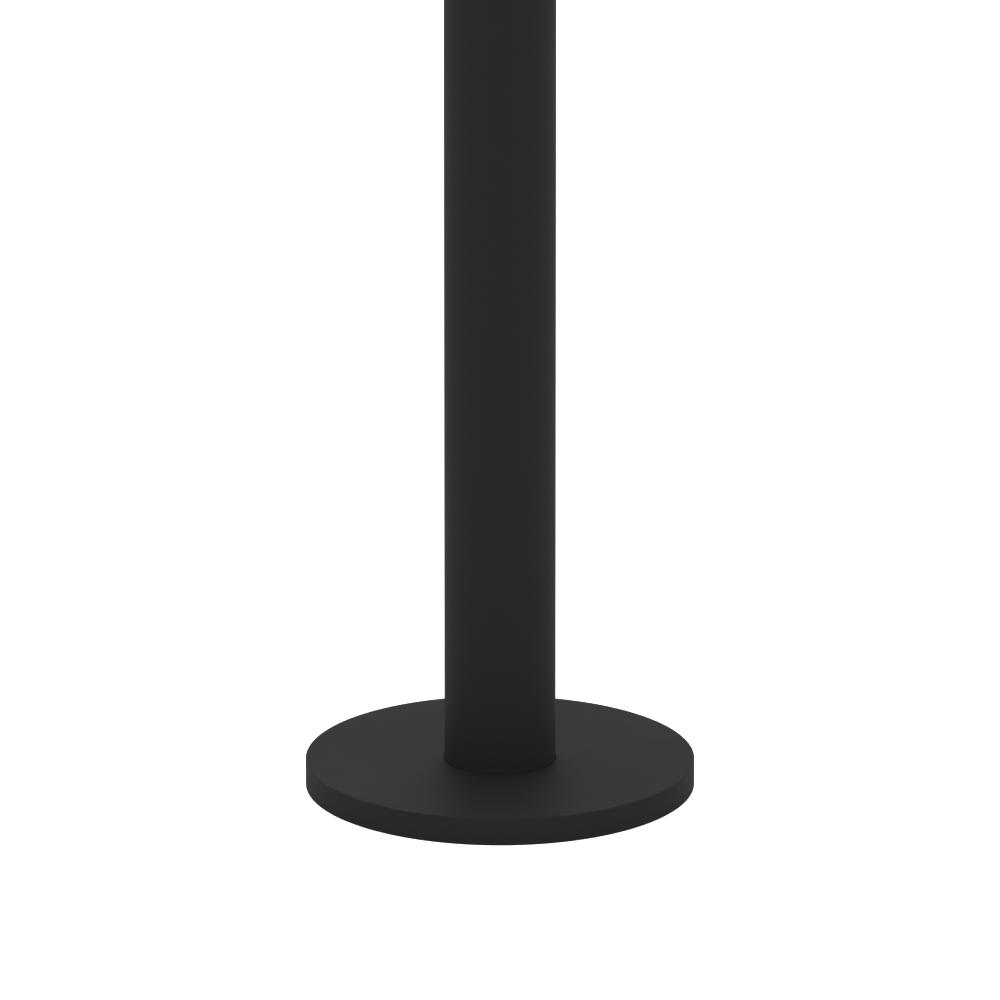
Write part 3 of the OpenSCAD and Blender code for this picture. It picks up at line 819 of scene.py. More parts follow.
def finishes(datum: Datum) -> list[Finish]:
    """The finish of every material slot.

    Args:
        datum: the clock's sizes.

    Returns:
        The finishes.
    """
    coat = (0.0225, 0.0225, 0.0226)
    return [
        Grained("post_paint", coat, 0.62, grain=520.0, depth=0.035 * MM, mottle=0.06, dust=0.02, ior=1.45),
        Grained("case_paint", coat, 0.58, grain=520.0, depth=0.035 * MM, mottle=0.06, dust=0.02, ior=1.45),
        Grained("seal_rubber", (0.014, 0.014, 0.014), 0.62, grain=900.0, depth=0.02 * MM, mottle=0.2),
        Grained("cable_sheath", (0.018, 0.018, 0.019), 0.45, grain=1200.0, depth=0.01 * MM, mottle=0.15),
        Worked("steel", (0.56, 0.56, 0.57), 0.3),
        Worked("zinc_plate", (0.62, 0.64, 0.67), 0.32, cloud=0.3),
        Worked("aluminium_box", (0.78, 0.79, 0.8), 0.35, cloud=0.08),
        Grained("grey_plastic", (0.16, 0.17, 0.18), 0.42, grain=850.0, depth=0.02 * MM, mottle=0.06),
        Grained("motor_shell", (0.22, 0.22, 0.23), 0.35, grain=500.0, mottle=0.08),
        Worked("brass", (0.78, 0.58, 0.26), 0.24, cloud=0.2),
        Grained("tray_white", (0.84, 0.84, 0.82), 0.4, grain=500.0, mottle=0.03),
        Grained("led_board", (0.04, 0.2, 0.085), 0.35, grain=1500.0, depth=0.01 * MM, mottle=0.15),
        LitOpal("opal_acrylic", (0.9, 0.895, 0.87), 0.32, centre=Vector((0, 0, datum.dial_z)),
                reach=datum.dial_r),
        Grained("dial_black", (0.014, 0.014, 0.015), 0.4, grain=900.0, depth=0.002 * MM, mottle=0.05),
        Grained("hand_black", (0.016, 0.016, 0.017), 0.35, grain=900.0, depth=0.003 * MM, mottle=0.05),
        ClearPane("clear_glass", (0.985, 0.992, 0.988), 0.02),
    ]


# ---------------------------------------------------------------- the bench where pieces are finished


class Bench:
    """Turns bmeshes into finished pieces that ride on the frame's bodies."""

    def __init__(self, coats: Sequence[Finish]) -> None:
        """Makes the materials and dresses every node of the frame.

        Args:
            coats: the finish of each slot.
        """
        self.materials = {coat.slot: coat.build() for coat in coats}
        self.slots = {part["node"]: part["material_slot"] for part in frame["record"]["subparts"]}
        for name, node in frame["nodes"].items():
            node.data.materials.clear()
            node.data.materials.append(self.materials[self.slots[name]])

    def fit(self, name: str, bm: Solid, *nodes: str, body: str = "", slot: str = "",
            smooth: float = 40.0) -> bpy.types.Object:
        """Makes a piece of a bmesh and frees it.

        Args:
            name: the piece's name.
            bm: its shape, in the clock's frame.
            nodes: the nodes it stands for. The first gives its body and its slot.
            body: the body, where it stands for no node.
            slot: the slot, where it stands for no node.
            smooth: faces that meet at less than this angle are shaded as one, in degrees.

        Returns:
            The piece.
        """
        mesh = bpy.data.meshes.new(name)
        bm.to_mesh(mesh)
        bm.free()
        mesh.polygons.foreach_set("use_smooth", [True] * len(mesh.polygons))
        mesh.set_sharp_from_angle(angle=math.radians(smooth))
        slot = slot or self.slots[nodes[0]]
        mesh.materials.append(self.materials[slot])
        piece = bpy.data.objects.new(name, mesh)
        bpy.context.scene.collection.objects.link(piece)
        weighted = piece.modifiers.new("even_shading", "WEIGHTED_NORMAL")
        weighted.keep_sharp = True
        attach(piece, body or frame["nodes"][nodes[0]]["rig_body"])
        if nodes:
            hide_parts(*nodes)
        return piece


# ---------------------------------------------------------------- foot


@dataclass
class Foot:
    """Round cover on the ground, its seal round the post, and the anchor flange under it."""

    bench: Bench
    datum: Datum
    wall: float = 2.5 * MM
    edge_round: float = 1.1 * MM
    post_gap: float = 0.5 * MM
    seal_t: float = 4 * MM
    seal_w: float = 8 * MM
    flange_t: float = 10 * MM
    duct_r: float = 50 * MM
    bolt_circle_r: float = 140 * MM
    bolt_hole_r: float = 9 * MM
    weld: float = 5 * MM

    def build(self) -> None:
        """Makes the foot's pieces."""
        self.bench.fit("base_cover", self.cover(), "base_cover")
        self.bench.fit("cover_seal", self.seal(), "cover_seal")
        self.bench.fit("anchor_flange", self.flange(), "anchor_flange")

    def cover(self) -> Solid:
        """The shell of the cover."""
        d, bore, skirt = self.datum, self.datum.post_r + self.post_gap, self.datum.cover_r - self.wall
        under = d.cover_h - self.wall
        points = [(bore, under), (skirt, under), (skirt, 0),
                  (d.cover_r, 0), (d.cover_r, d.cover_h), (bore, d.cover_h)]
        rounds = {1: 1 * MM, 3: 0.3 * MM, 4: self.edge_round, 5: 0.5 * MM}
        return turned(points, rounds, steps=256, segments=5)

    def seal(self) -> Solid:
        """The rubber ring under the cover's bore."""
        top = self.datum.cover_h - self.wall
        inner = self.datum.post_r + self.post_gap / 2
        outer = self.datum.post_r + self.seal_w
        return band(inner, outer, top - self.seal_t, top, {0: 1 * MM, 1: 1 * MM}, 128)

    def flange(self) -> Solid:
        """The flange with its bolt holes, and the weld round the post."""
        t, rounds = self.flange_t, {1: 0.6 * MM, 2: 1 * MM, 3: 0.6 * MM}
        disc = band(self.duct_r, self.datum.flange_r, 0, t, rounds, 192)

        def drill() -> Solid:
            """One bolt hole."""
            return moved(bar(self.bolt_hole_r, 4 * t, steps=48), self.bolt_circle_r, 0, -t)

        return joined([carved(disc, [around(drill, 4, 45)]), self.weld_bead()])

    def weld_bead(self) -> Solid:
        """The weld between flange and post, with its ripples."""
        r, z, leg, crown = self.datum.post_r, self.flange_t, self.weld, 0.6 * self.weld
        ripples, depth = 110, 0.25 * MM
        points = [(r - 0.5 * MM, z - 0.5 * MM), (r + leg, z - 0.2 * MM),
                  (r + crown, z + crown), (r - 0.2 * MM, z + leg)]
        bead = turned(points, {2: 1.2 * MM}, steps=4 * ripples)
        for vert in bead.verts:
            out = Vector((vert.co.x, vert.co.y, 0))
            share = min(1.0, (out.length - r) / leg + 0.3)
            vert.co += out.normalized() * depth * share * math.sin(ripples * math.atan2(out.y, out.x))
        return bead


# ---------------------------------------------------------------- post and what it holds


@dataclass
class Post:
    """The tube, with its hand hole, backing frame and gasket."""

    bench: Bench
    datum: Datum
    wall: float = 4 * MM
    hatch_w: float = 72 * MM
    hatch_h: float = 300 * MM
    hatch_corner: float = 12 * MM
    screw_r: float = 5.1 * MM
    screw_rows: tuple[float, float] = (80 * MM, 40 * MM)
    frame_in: float = 51 * MM
    frame_out: float = 54 * MM
    frame_reach: float = 162 * MM
    window_w: float = 54 * MM
    window_h: float = 276 * MM

    def build(self) -> None:
        """Makes the post's pieces."""
        self.bench.fit("post_tube", self.tube(), "post_tube", smooth=30)
        self.bench.fit("door_frame", self.backing_frame(), "door_frame")
        self.bench.fit("door_gasket", self.gasket(), "door_gasket")

    def prism(self, width: float, height: float, corner: float) -> Solid:
        """A rounded rectangle that reaches through the rear wall of the post, at the hand hole."""
        block = plate(box_corners(width, height), self.datum.post_r, every_corner(corner), segments=10)
        return placed(block, shift(0, self.datum.post_r + 20 * MM, self.datum.hatch_z) @ about("X", 90))

    def tube(self) -> Solid:
        """The tube, cut for the hand hole and the grub screws."""
        d, inner = self.datum, self.datum.post_r - self.wall
        blank = band(inner, d.post_r, d.post_foot, d.post_top, {2: 0.6 * MM}, 192)
        start = inner - self.wall
        drills = [placed(bar(self.screw_r, 3 * self.wall), spoke(bearing, d.post_top - row, start))
                  for row in self.screw_rows for bearing in (30, 150, 270)]
        return carved(blank, [self.prism(self.hatch_w, self.hatch_h, self.hatch_corner), joined(drills)])

    def backing_frame(self) -> Solid:
        """The frame welded behind the hand hole, with a pocket for the gasket."""
        z, reach, inner = self.datum.hatch_z, self.frame_reach, self.datum.post_r - self.wall
        blank = arc_slab(self.frame_in, inner, 46, 134, z - reach, z + reach, 48)
        deep = reach - 2 * MM
        pocket = arc_slab(self.frame_out, self.datum.post_r, 50, 130, z - deep, z + deep, 48)
        return carved(blank, [pocket, self.prism(self.window_w, self.window_h, 10 * MM)])

    def gasket(self) -> Solid:
        """The rubber seal that the door closes on."""
        z, reach = self.datum.hatch_z, self.frame_reach - 2.5 * MM
        blank = arc_slab(self.frame_out, self.frame_out + 1.4 * MM, 50.5, 129.5, z - reach, z + reach, 48)
        return carved(blank, [self.prism(self.window_w + 4 * MM, self.window_h + 4 * MM, 11 * MM)])


@dataclass
class ServiceDoor:
    """The door behind the post, its hinges and its lock barrel."""

    bench: Bench
    datum: Datum
    post: Post
    gap: float = 0.8 * MM
    axis_bearing: float = 52.5
    axis_out: float = 4.2 * MM
    knuckle_r: float = 4 * MM
    pin_r: float = 1.6 * MM
    leaf_t: float = 2 * MM
    leaf_h: float = 44 * MM
    hinge_offset: float = 90 * MM
    lock_bearing: float = 113.0
    barrel_r: float = 6 * MM

    def build(self) -> None:
        """Makes the door's pieces."""
        self.bench.fit("service_door", self.door(), "service_door", smooth=30)
        self.bench.fit("door_hinge_leaves", self.fixed_leaves(), "door_hinge_leaves")
        self.bench.fit("door_lock_barrel", self.lock_barrel(), "door_lock_barrel")
        self.bench.fit("door_hinge_pins", self.pins(), "hinge_pins")

    def pins(self) -> Solid:
        """The pins of the two door hinges."""
        length = self.leaf_h + 3 * MM
        places = [self.axis_place @ shift(z=height - length / 2) for height in self.hinge_heights]
        return joined([placed(bar(self.pin_r, length, 0.4 * MM, 24), place) for place in places])

    @property
    def hinge_heights(self) -> tuple[float, float]:
        """Heights of the two hinges."""
        return self.datum.hatch_z - self.hinge_offset, self.datum.hatch_z + self.hinge_offset

    @property
    def axis_place(self) -> Matrix:
        """Place of the hinge axis on the ground."""
        out = self.datum.post_r + self.axis_out
        angle = math.radians(self.axis_bearing)
        return shift(out * math.cos(angle), out * math.sin(angle))

    def door(self) -> Solid:
        """The curved panel with its hinge leaves."""
        d, post = self.datum, self.post
        half = post.hatch_h / 2 - self.gap
        blank = arc_slab(d.post_r - post.wall, d.post_r, 40, 140, d.hatch_z - half, d.hatch_z + half, 96)
        prism = post.prism(post.hatch_w - 2 * self.gap, 2 * half, post.hatch_corner - self.gap)
        panel = carved(blank, [prism], Cut.TO_SHAPE)
        hole = placed(bar(self.barrel_r, 30 * MM), spoke(self.lock_bearing, d.hatch_z, d.post_r - 15 * MM))
        panel = soften(carved(panel, [hole]), 0.5 * MM, angle=50)
        own, other = [(-22, 11.7), (10.3, 11.7)], [(-10.3, 20.6)]
        return joined([panel, *[self.leaf(z, 54.4, 63.0, own, other) for z in self.hinge_heights]])

    def fixed_leaves(self) -> Solid:
        """The hinge leaves on the post."""
        own, other = [(-10, 20)], [(-22.2, 12.2), (10, 12.2)]
        return joined([self.leaf(z, 43.0, 51.6, own, other) for z in self.hinge_heights])

    def leaf(self, height: float, start: float, end: float, own: Sequence[Point],
             other: Sequence[Point]) -> Solid:
        """One hinge leaf with its knuckles and screws.

        Args:
            height: height of the hinge's middle.
            start: bearing of one edge, in degrees.
            end: bearing of the other edge.
            own: start and length of each of its knuckles, in millimetres from the middle.
            other: start and length of each cut for the other leaf's knuckles.

        Returns:
            The leaf.
        """
        r, half = self.datum.post_r, self.leaf_h / 2
        blank = arc_slab(r - 0.4 * MM, r + self.leaf_t, start, end, height - half, height + half, 12)

        def on_axis(low: float, radius: float, length: float, edge: float = 0.0, bore: float = 0.0) -> Solid:
            """A bar or tube about the hinge's axis."""
            return placed(moved(bar(radius, length, edge, 32, bore), z=height + low), self.axis_place)

        cuts = [on_axis(low * MM, self.knuckle_r + 0.5 * MM, length * MM) for low, length in other]
        cuts.append(on_axis(-self.leaf_h, self.pin_r + 0.1 * MM, 2 * self.leaf_h))
        blank = soften(carved(blank, cuts), 0.3 * MM, 1, 50)
        knuckles = [on_axis(low * MM, self.knuckle_r, length * MM, 0.4 * MM, self.pin_r + 0.05 * MM)
                    for low, length in own]
        middle = start + (end - start) * (0.35 if start < self.axis_bearing else 0.7)
        out = r + self.leaf_t - 0.1 * MM
        screws = [placed(screw_head(2.6 * MM, 0.5 * MM), spoke(middle, height + z * MM, out))
                  for z in (-15, 15)]
        return joined([blank, *knuckles, *screws])

    def lock_barrel(self) -> Solid:
        """The barrel of the lock, with a round recess for its key."""
        bore, key_r, head_r = 3.05 * MM, 4.8 * MM, 9 * MM
        low, seat, top = -10.5 * MM, 0.2 * MM, 2.8 * MM
        points = [(bore, low), (self.barrel_r, low), (self.barrel_r, seat), (head_r, seat),
                  (head_r, top), (key_r, top), (key_r, seat), (bore, seat)]
        barrel = turned(points, {3: 0.2 * MM, 4: 0.9 * MM, 5: 0.3 * MM}, steps=48)
        return placed(barrel, spoke(self.lock_bearing, self.datum.hatch_z, self.datum.post_r))


def screw_head(radius: float, height: float) -> Solid:
    """A low round head with a cross slot, from z = 0 up."""
    outline = [(0, 0), (radius, 0), (radius * 0.85, height), (0, height)]
    head = turned(outline, {1: height * 0.3, 2: height * 0.3}, steps=24)
    slots = [placed(moved(slab(radius * 1.1, radius * 0.26, height), z=height * 0.45), about("Z", degrees))
             for degrees in (0, 90)]
    return carved(head, slots)


@dataclass
class PostInside:
    """What the hand hole gives access to: rail, cut-out, earth stud and the clock's cable."""

    bench: Bench
    datum: Datum
    rail_back: float = -48 * MM
    rail_t: float = 4 * MM
    box_w: float = 60 * MM
    box_d: float = 44 * MM
    box_low: float = -60 * MM
    box_h: float = 150 * MM
    cable_r: float = 4 * MM
    cable_bend: float = 35 * MM
    spigot_l: float = 120 * MM

    def build(self) -> None:
        """Makes the pieces inside the post."""
        self.bench.fit("equipment_rail", self.rail(), "equipment_rail")
        self.bench.fit("fused_cutout", self.cutout(), "fused_cutout")
        self.bench.fit("cutout_lid", self.lid(), "cutout_lid")
        self.bench.fit("earth_stud", self.earth_stud(), "earth_stud")
        self.bench.fit("supply_cable", self.cable(), "supply_cable", smooth=60)

    def upright(self, x: float, y: float, z: float) -> Matrix:
        """Place on a plane that faces +Y, with x and y along it; z is a height above the hatch's middle."""
        return shift(x, y, self.datum.hatch_z + z) @ about("Z", 180) @ about("X", 90)

    def rail(self) -> Solid:
        """A flat bar with rows of holes, on two studs."""
        holes = [((0.0, (i - 3) * 50 * MM), 3 * MM) for i in range(7)]
        flat = plate(box_corners(40 * MM, 330 * MM), self.rail_t, every_corner(3 * MM), holes=holes)
        flat = soften(flat, 0.4 * MM, angle=60)
        studs = [placed(bar(7 * MM, 8 * MM, 0.4 * MM), self.upright(0, self.rail_back - 7.6 * MM, z * MM))
                 for z in (-135, 135)]
        return joined([placed(flat, self.upright(0, self.rail_back, 0)), *studs])

    def cutout(self) -> Solid:
        """The open box with its glands and fuse carriers."""
        middle = self.box_low + self.box_h / 2
        shell = soften(slab(self.box_w, self.box_h, self.box_d, 4 * MM), 0.8 * MM)
        hollow = moved(slab(self.box_w - 8 * MM, self.box_h - 8 * MM, self.box_d, 2 * MM), z=6 * MM)
        shell = placed(carved(shell, [hollow]), self.upright(0, -self.box_d, middle))
        z = self.datum.hatch_z + self.box_low
        glands = [moved(self.gland(7 * MM, 11 * MM), x * MM, -22 * MM, z - 14 * MM) for x in (-15, 15)]
        upper = self.gland(self.cable_r + 0.3 * MM, 9 * MM)
        glands.append(moved(upper, 12 * MM, -20 * MM, z + self.box_h - 0.5 * MM))
        fuses = [placed(slab(18 * MM, 70 * MM, 30 * MM, 2 * MM, 0.6 * MM),
                        self.upright(x * MM, -38 * MM, 15 * MM)) for x in (-13, 13)]
        return joined([shell, *glands, *fuses])

    def gland(self, bore: float, radius: float) -> Solid:
        """A cable gland: a domed nut with ridges round it, about 14 mm high."""
        points = [(bore, 0), (radius * 0.92, 0), (radius * 0.92, 13.5 * MM), (bore, 13.5 * MM)]
        nut = turned(points, {1: 1.5 * MM, 2: 2.5 * MM}, steps=48)

        def ridge() -> Solid:
            """One ridge of the nut."""
            return moved(slab(1.2 * MM, 1.6 * MM, 8 * MM, edge=0.3 * MM), radius * 0.93, 0, 3 * MM)

        return joined([nut, around(ridge, 18)])

    def lid(self) -> Solid:
        """The lid with a raised panel, ribs and two slotted captive screws."""
        middle = self.box_low + self.box_h / 2
        cover = soften(slab(self.box_w, self.box_h, 7 * MM, 4 * MM), 1.2 * MM, 3)
        panel = slab(self.box_w - 14 * MM, self.box_h - 52 * MM, 2.2 * MM, 3 * MM, 0.8 * MM)
        panel = moved(panel, z=6.8 * MM)
        grip = joined([moved(slab(30 * MM, 1.6 * MM, 0.9 * MM, edge=0.3 * MM), 0, (i - 3) * 4 * MM, 8.9 * MM)
                       for i in range(7)])
        screws = [moved(self.slotted_screw(), 0, side * 65 * MM, 7 * MM) for side in (-1, 1)]
        return placed(joined([cover, panel, grip, *screws]), self.upright(0, 0.2 * MM, middle))

    def slotted_screw(self) -> Solid:
        """A captive screw with a rounded rim and a coin slot."""
        head = bar(4.5 * MM, 3.4 * MM, 0.6 * MM, 36)
        slot = moved(slab(10 * MM, 1.3 * MM, 2 * MM), z=2.2 * MM)
        return carved(head, [slot])

    def earth_stud(self) -> Solid:
        """A threaded stud with washers and nuts."""
        pitch, turns = 1.25 * MM, 20
        flanks = [point for i in range(turns)
                  for point in ((3.4 * MM, i * pitch), (4.0 * MM, (i + 0.5) * pitch))]
        stud = turned([(0, 0), *flanks, (3.2 * MM, turns * pitch), (0, turns * pitch + 0.6 * MM)], steps=24)
        washers = [moved(bar(8 * MM, 1.5 * MM, 0.2 * MM, 40, 4.2 * MM), z=z * MM) for z in (0, 12)]
        nuts = [moved(hexagon(13 * MM, 6 * MM, 0.5 * MM), z=z * MM) for z in (1.5, 13.5)]
        place = self.upright(0, self.rail_back + self.rail_t, -105 * MM)
        return placed(joined([stud, *washers, *nuts]), place)

    def cable_points(self) -> list[Vector]:
        """The cable's own route: up the post, through the neck, and round into the power supply."""
        foot, bend = self.datum.hatch_z, self.cable_bend
        plug_z = round(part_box("power_supply")[0].z, 4)
        turn_z = plug_z - 60 * MM
        climb = [(12, -20, 84), (12, -20, 180), (11, -18, 280), (7, -12, 400), (2, -4, 540), (0, 0, 680)]
        points = [Vector((x * MM, y * MM, foot + z * MM)) for x, y, z in climb]
        points += [Vector((0, 0, 1.8)), Vector((0, 0, self.datum.post_top - self.spigot_l))]
        for i in range(7):
            a = math.radians(15 * i)
            points.append(Vector((bend * (1 - math.cos(a)), 0, turn_z - bend * (1 - math.sin(a)))))
        for i in range(1, 7):
            a = math.radians(15 * i)
            points.append(Vector((bend * (1 + math.sin(a)), 0, turn_z + bend * (1 - math.cos(a)))))
        points.append(Vector((2 * bend, 0, plug_z)))
        return points

    def cable(self) -> Solid:
        """The cable, swept along its route."""
        curve = bpy.data.curves.new("cable", "CURVE")
        curve.dimensions = "3D"
        curve.bevel_depth = self.cable_r
        curve.bevel_resolution = 5
        curve.use_fill_caps = True
        points = self.cable_points()
        line = curve.splines.new("POLY")
        line.points.add(len(points) - 1)
        for spot, place in zip(line.points, points):
            spot.co = (*place, 1.0)
        return from_curve(curve)


def from_curve(curve: bpy.types.Curve) -> Solid:
    """Makes a closed bmesh of a curve or a text, and deletes the curve."""
    holder = bpy.data.objects.new("curve", curve)
    bpy.context.scene.collection.objects.link(holder)
    mesh = bpy.data.meshes.new_from_object(holder.evaluated_get(bpy.context.evaluated_depsgraph_get()))
    bm = bmesh.new()
    bm.from_mesh(mesh)
    bpy.data.objects.remove(holder)
    bpy.data.meshes.remove(mesh)
    bpy.data.curves.remove(curve)
    bmesh.ops.remove_doubles(bm, verts=bm.verts[:], dist=1e-6)
    bmesh.ops.recalc_face_normals(bm, faces=bm.faces[:])
    return bm


def thickened(bm: Solid, by: float) -> Solid:
    """Moves the upright walls of a flat solid outwards.

    Args:
        bm: a solid whose walls stand along z, which is changed.
        by: how far each wall moves.

    Returns:
        The same solid.
    """
    bm.normal_update()
    shifts = []
    for vert in bm.verts:
        walls = [face.normal for face in vert.link_faces if abs(face.normal.z) < 0.5]
        first, last = walls[0], min(walls, key=walls[0].dot)
        shifts.append((first + last) * by / (1 + first.dot(last)))
    for vert, shift in zip(bm.verts, shifts):
        vert.co += shift
    return bm


# ---------------------------------------------------------------- neck and case


@dataclass
class Neck:
    """The casting that plugs into the post and carries the case, with its bolts."""

    bench: Bench
    datum: Datum
    bore_r: float = 30 * MM
    neck_r: float = 48 * MM
    plug_r: float = 55.7 * MM
    plug_l: float = 120 * MM
    saddle_w: float = 170 * MM
    saddle_d: float = 140 * MM
    saddle_rise: float = 38 * MM
    bolt_x: float = 60 * MM
    bolt_y: float = 50 * MM

    def build(self) -> None:
        """Makes the neck's pieces."""
        self.bench.fit("neck_spigot", self.spigot(), "neck_spigot")
        self.bench.fit("saddle_bolts", self.bolts(), "saddle_bolts")

    def corners(self) -> Iterator[Point]:
        """The places of the four bolts."""
        for x in (-self.bolt_x, self.bolt_x):
            for y in (-self.bolt_y, self.bolt_y):
                yield x, y

    def spigot(self) -> Solid:
        """The plug, collar, neck and the saddle that fits the case."""
        d, top = self.datum, self.datum.post_top
        under = top + self.saddle_rise
        points = [(self.bore_r, top - self.plug_l), (self.plug_r, top - self.plug_l), (self.plug_r, top),
                  (d.post_r, top), (d.post_r, top + 10 * MM), (self.neck_r, top + 24 * MM),
                  (self.neck_r, top + 29 * MM), (self.neck_r + 14 * MM, under + 1 * MM),
                  (self.bore_r, under + 1 * MM)]
        stem = turned(points, {1: 3 * MM, 4: 1.5 * MM, 5: 3 * MM, 6: 2.5 * MM}, steps=192, segments=5)
        holes = [((0, 0), self.bore_r), *[(spot, 5.5 * MM) for spot in self.corners()]]
        block = plate(box_corners(self.saddle_w, self.saddle_d), 40 * MM, every_corner(18 * MM), 12, holes)
        drum = placed(bar(d.case_r, 0.4, steps=512), shift(0, 0.2, d.dial_z) @ about("X", 90))
        saddle = soften(carved(moved(block, z=under), [drum]), 1.2 * MM, 3, 60)
        return joined([stem, saddle])

    def bolts(self) -> Solid:
        """Four bolts with washers, from below the saddle to the nuts in the case."""
        under = self.datum.post_top + self.saddle_rise
        clamp_top = round(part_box("clamp_plate")[1].z, 4)
        parts = []
        shank = clamp_top - under + 15 * MM
        for x, y in self.corners():
            stack = [(hexagon(16 * MM, 6 * MM, 0.6 * MM), under - 8 * MM),
                     (bar(5 * MM, shank, 0.5 * MM), under - 1 * MM),
                     (hexagon(16 * MM, 8 * MM, 0.6 * MM), clamp_top + 2 * MM)]
            stack += [(bar(10 * MM, 2 * MM, 0.3 * MM, 48, 5 * MM), z) for z in (under - 2 * MM, clamp_top)]
            parts += [moved(part, x, y, z) for part, z in stack]
        return joined(parts)


@dataclass
class CaseShell:
    """The case ring with its hinge and lock lugs, its seals, drains and hinge pins."""

    bench: Bench
    datum: Datum
    neck: Neck
    wall: float = 4 * MM
    lip: float = 6 * MM
    knuckle_r: float = 6.5 * MM
    pin_r: float = 3 * MM
    hinge_out: float = 9 * MM
    hinge_offset: float = 50 * MM
    case_knuckle: float = 24 * MM
    bezel_knuckle: float = 11.8 * MM
    lock_out: float = 10 * MM
    web_t: float = 5.5 * MM
    drain_angle: float = 25.0

    @property
    def hinge_x(self) -> float:
        """Distance of a bezel's hinge axis from the middle of its face, to the left."""
        return -self.datum.case_r - self.hinge_out

    @property
    def hinge_w(self) -> float:
        """Depth of a bezel's hinge axis."""
        return (self.datum.case_half + self.datum.bezel_back) / 2

    def build(self) -> None:
        """Makes the case's pieces."""
        self.bench.fit("case_ring", self.ring(), "case_ring", smooth=30)
        self.bench.fit("drain_vents", self.drains(), "drain_vents")
        self.bench.fit("bezel_seals", self.seals(), "bezel_seals")
        self.bench.fit("bezel_hinge_pins", self.pins(), "hinge_pins")

    def faces(self) -> Iterator[Matrix]:
        """The places of the two faces."""
        for side in Side:
            yield self.datum.face(side)

    def ring(self) -> Solid:
        """The ring with its two lips, its lugs and its drain holes."""
        d, half, inner = self.datum, self.datum.case_half, self.datum.case_r - self.wall
        lip_r, lip_w = inner - self.lip, half - self.wall
        points = [(lip_r, -half), (d.case_r, -half), (d.case_r, half), (lip_r, half),
                  (lip_r, lip_w), (inner, lip_w), (inner, -lip_w), (lip_r, -lip_w)]
        shell = turned(points, {1: 0.6 * MM, 2: 0.6 * MM}, steps=288)
        shell = placed(shell, d.face(Side.FRONT))
        holes = [placed(bar(7 * MM, 30 * MM), self.drain_place(side)) for side in (-1, 1)]
        low = d.dial_z - d.case_r - self.wall
        holes.append(moved(bar(15 * MM, 6 * self.wall), z=low))
        holes += [moved(bar(5.5 * MM, 9 * self.wall), x, y, low) for x, y in self.neck.corners()]
        lugs = [placed(self.lugs(), place) for place in self.faces()]
        return joined([carved(shell, holes), *lugs])

    def drain_place(self, side: int) -> Matrix:
        """Place of a drain, just below the case, with z pointing to the case's middle."""
        return (shift(z=self.datum.dial_z) @ about("Y", side * self.drain_angle)
                @ shift(z=-self.datum.case_r - self.wall))

    def lugs(self) -> Solid:
        """Hinge knuckles and lock lug of the case, on one face."""
        d = self.datum
        thickness, deep = 8 * MM, 20 * MM
        parts = [self.knuckle(y, self.case_knuckle, d.case_half - self.web_t) for y in self.hinge_ys]
        keyhole = joined([slab(7.2 * MM, 19.2 * MM, deep), bar(4.6 * MM, deep)])
        return joined([*parts, self.lock_lug(thickness, keyhole, d.case_half - thickness)])

    @property
    def hinge_ys(self) -> Point:
        """Heights of a bezel's two hinges on its face."""
        return -self.hinge_offset, self.hinge_offset

    @property
    def hinge_places(self) -> list[Matrix]:
        """Places of a bezel's two hinges on its face, with z along the pin."""
        return [shift(self.hinge_x, y, self.hinge_w) @ about("X", -90) for y in self.hinge_ys]

    def lock_lug(self, thickness: float, hole: Solid, back: float) -> Solid:
        """A lug for the lock, at the right of a face.

        Args:
            thickness: thickness of the lug.
            hole: what is cut out of it round the lock's axis.
            back: depth of its back.

        Returns:
            The lug.
        """
        inset = 1.5 * MM
        lug = plate(box_corners(23 * MM, 28 * MM), thickness, {1: 6 * MM, 2: 6 * MM})
        lug = carved(lug, [moved(hole, inset, 0, -5 * MM)])
        lug = moved(lug, self.datum.case_r + self.lock_out - inset, 0, back)
        return soften(self.fitted(lug), 0.5 * MM, 2, 60)

    def fitted(self, lug: Solid) -> Solid:
        """Cuts a lug to the round of the case."""
        return carved(lug, [bar(self.datum.case_r - self.wall / 2, 0.3, steps=288)])

    def knuckle(self, y: float, length: float, web_w: float) -> Solid:
        """A hinge knuckle and the web that joins it to a ring.

        Args:
            y: height of its middle on the face.
            length: length along the pin.
            web_w: depth of the back of the web.

        Returns:
            The knuckle.
        """
        tube = moved(bar(self.knuckle_r, length, 0.6 * MM, 48, self.pin_r + 0.05 * MM), z=-length / 2)
        tube = placed(tube, shift(self.hinge_x, y, self.hinge_w) @ about("X", -90))
        reach = 22 * MM
        web = moved(slab(reach, length - 0.6 * MM, self.web_t), self.hinge_x + 5 * MM + reach / 2, y, web_w)
        return joined([tube, soften(self.fitted(web), 0.5 * MM, 2, 60)])

    def drains(self) -> Solid:
        """Two rubber drain grommets under the case."""
        bore, head_r, plug_r, head_h, height = 4.5 * MM, 9 * MM, 6.9 * MM, 3.9 * MM, 10 * MM
        points = [(bore, 0), (head_r, 0), (head_r, head_h),
                  (plug_r, head_h), (plug_r, height), (bore, height)]
        return joined([placed(turned(points, {0: 0.5 * MM, 1: 1.2 * MM}, steps=48), self.drain_place(side))
                       for side in (-1, 1)])

    def seals(self) -> Solid:
        """The rubber rings that the bezels close on."""
        r, w = self.datum.case_r, self.datum.case_half
        return joined([placed(band(r - 5 * MM, r - 0.5 * MM, w, w + 1.3 * MM, {2: 0.4 * MM}, 256), place)
                       for place in self.faces()])

    def pins(self) -> Solid:
        """The pins of the bezel hinges."""
        length = 52 * MM
        return joined([placed(moved(bar(self.pin_r, length, 0.8 * MM), z=-length / 2), face @ hinge)
                       for face in self.faces() for hinge in self.hinge_places])


# ---------------------------------------------------------------- faces


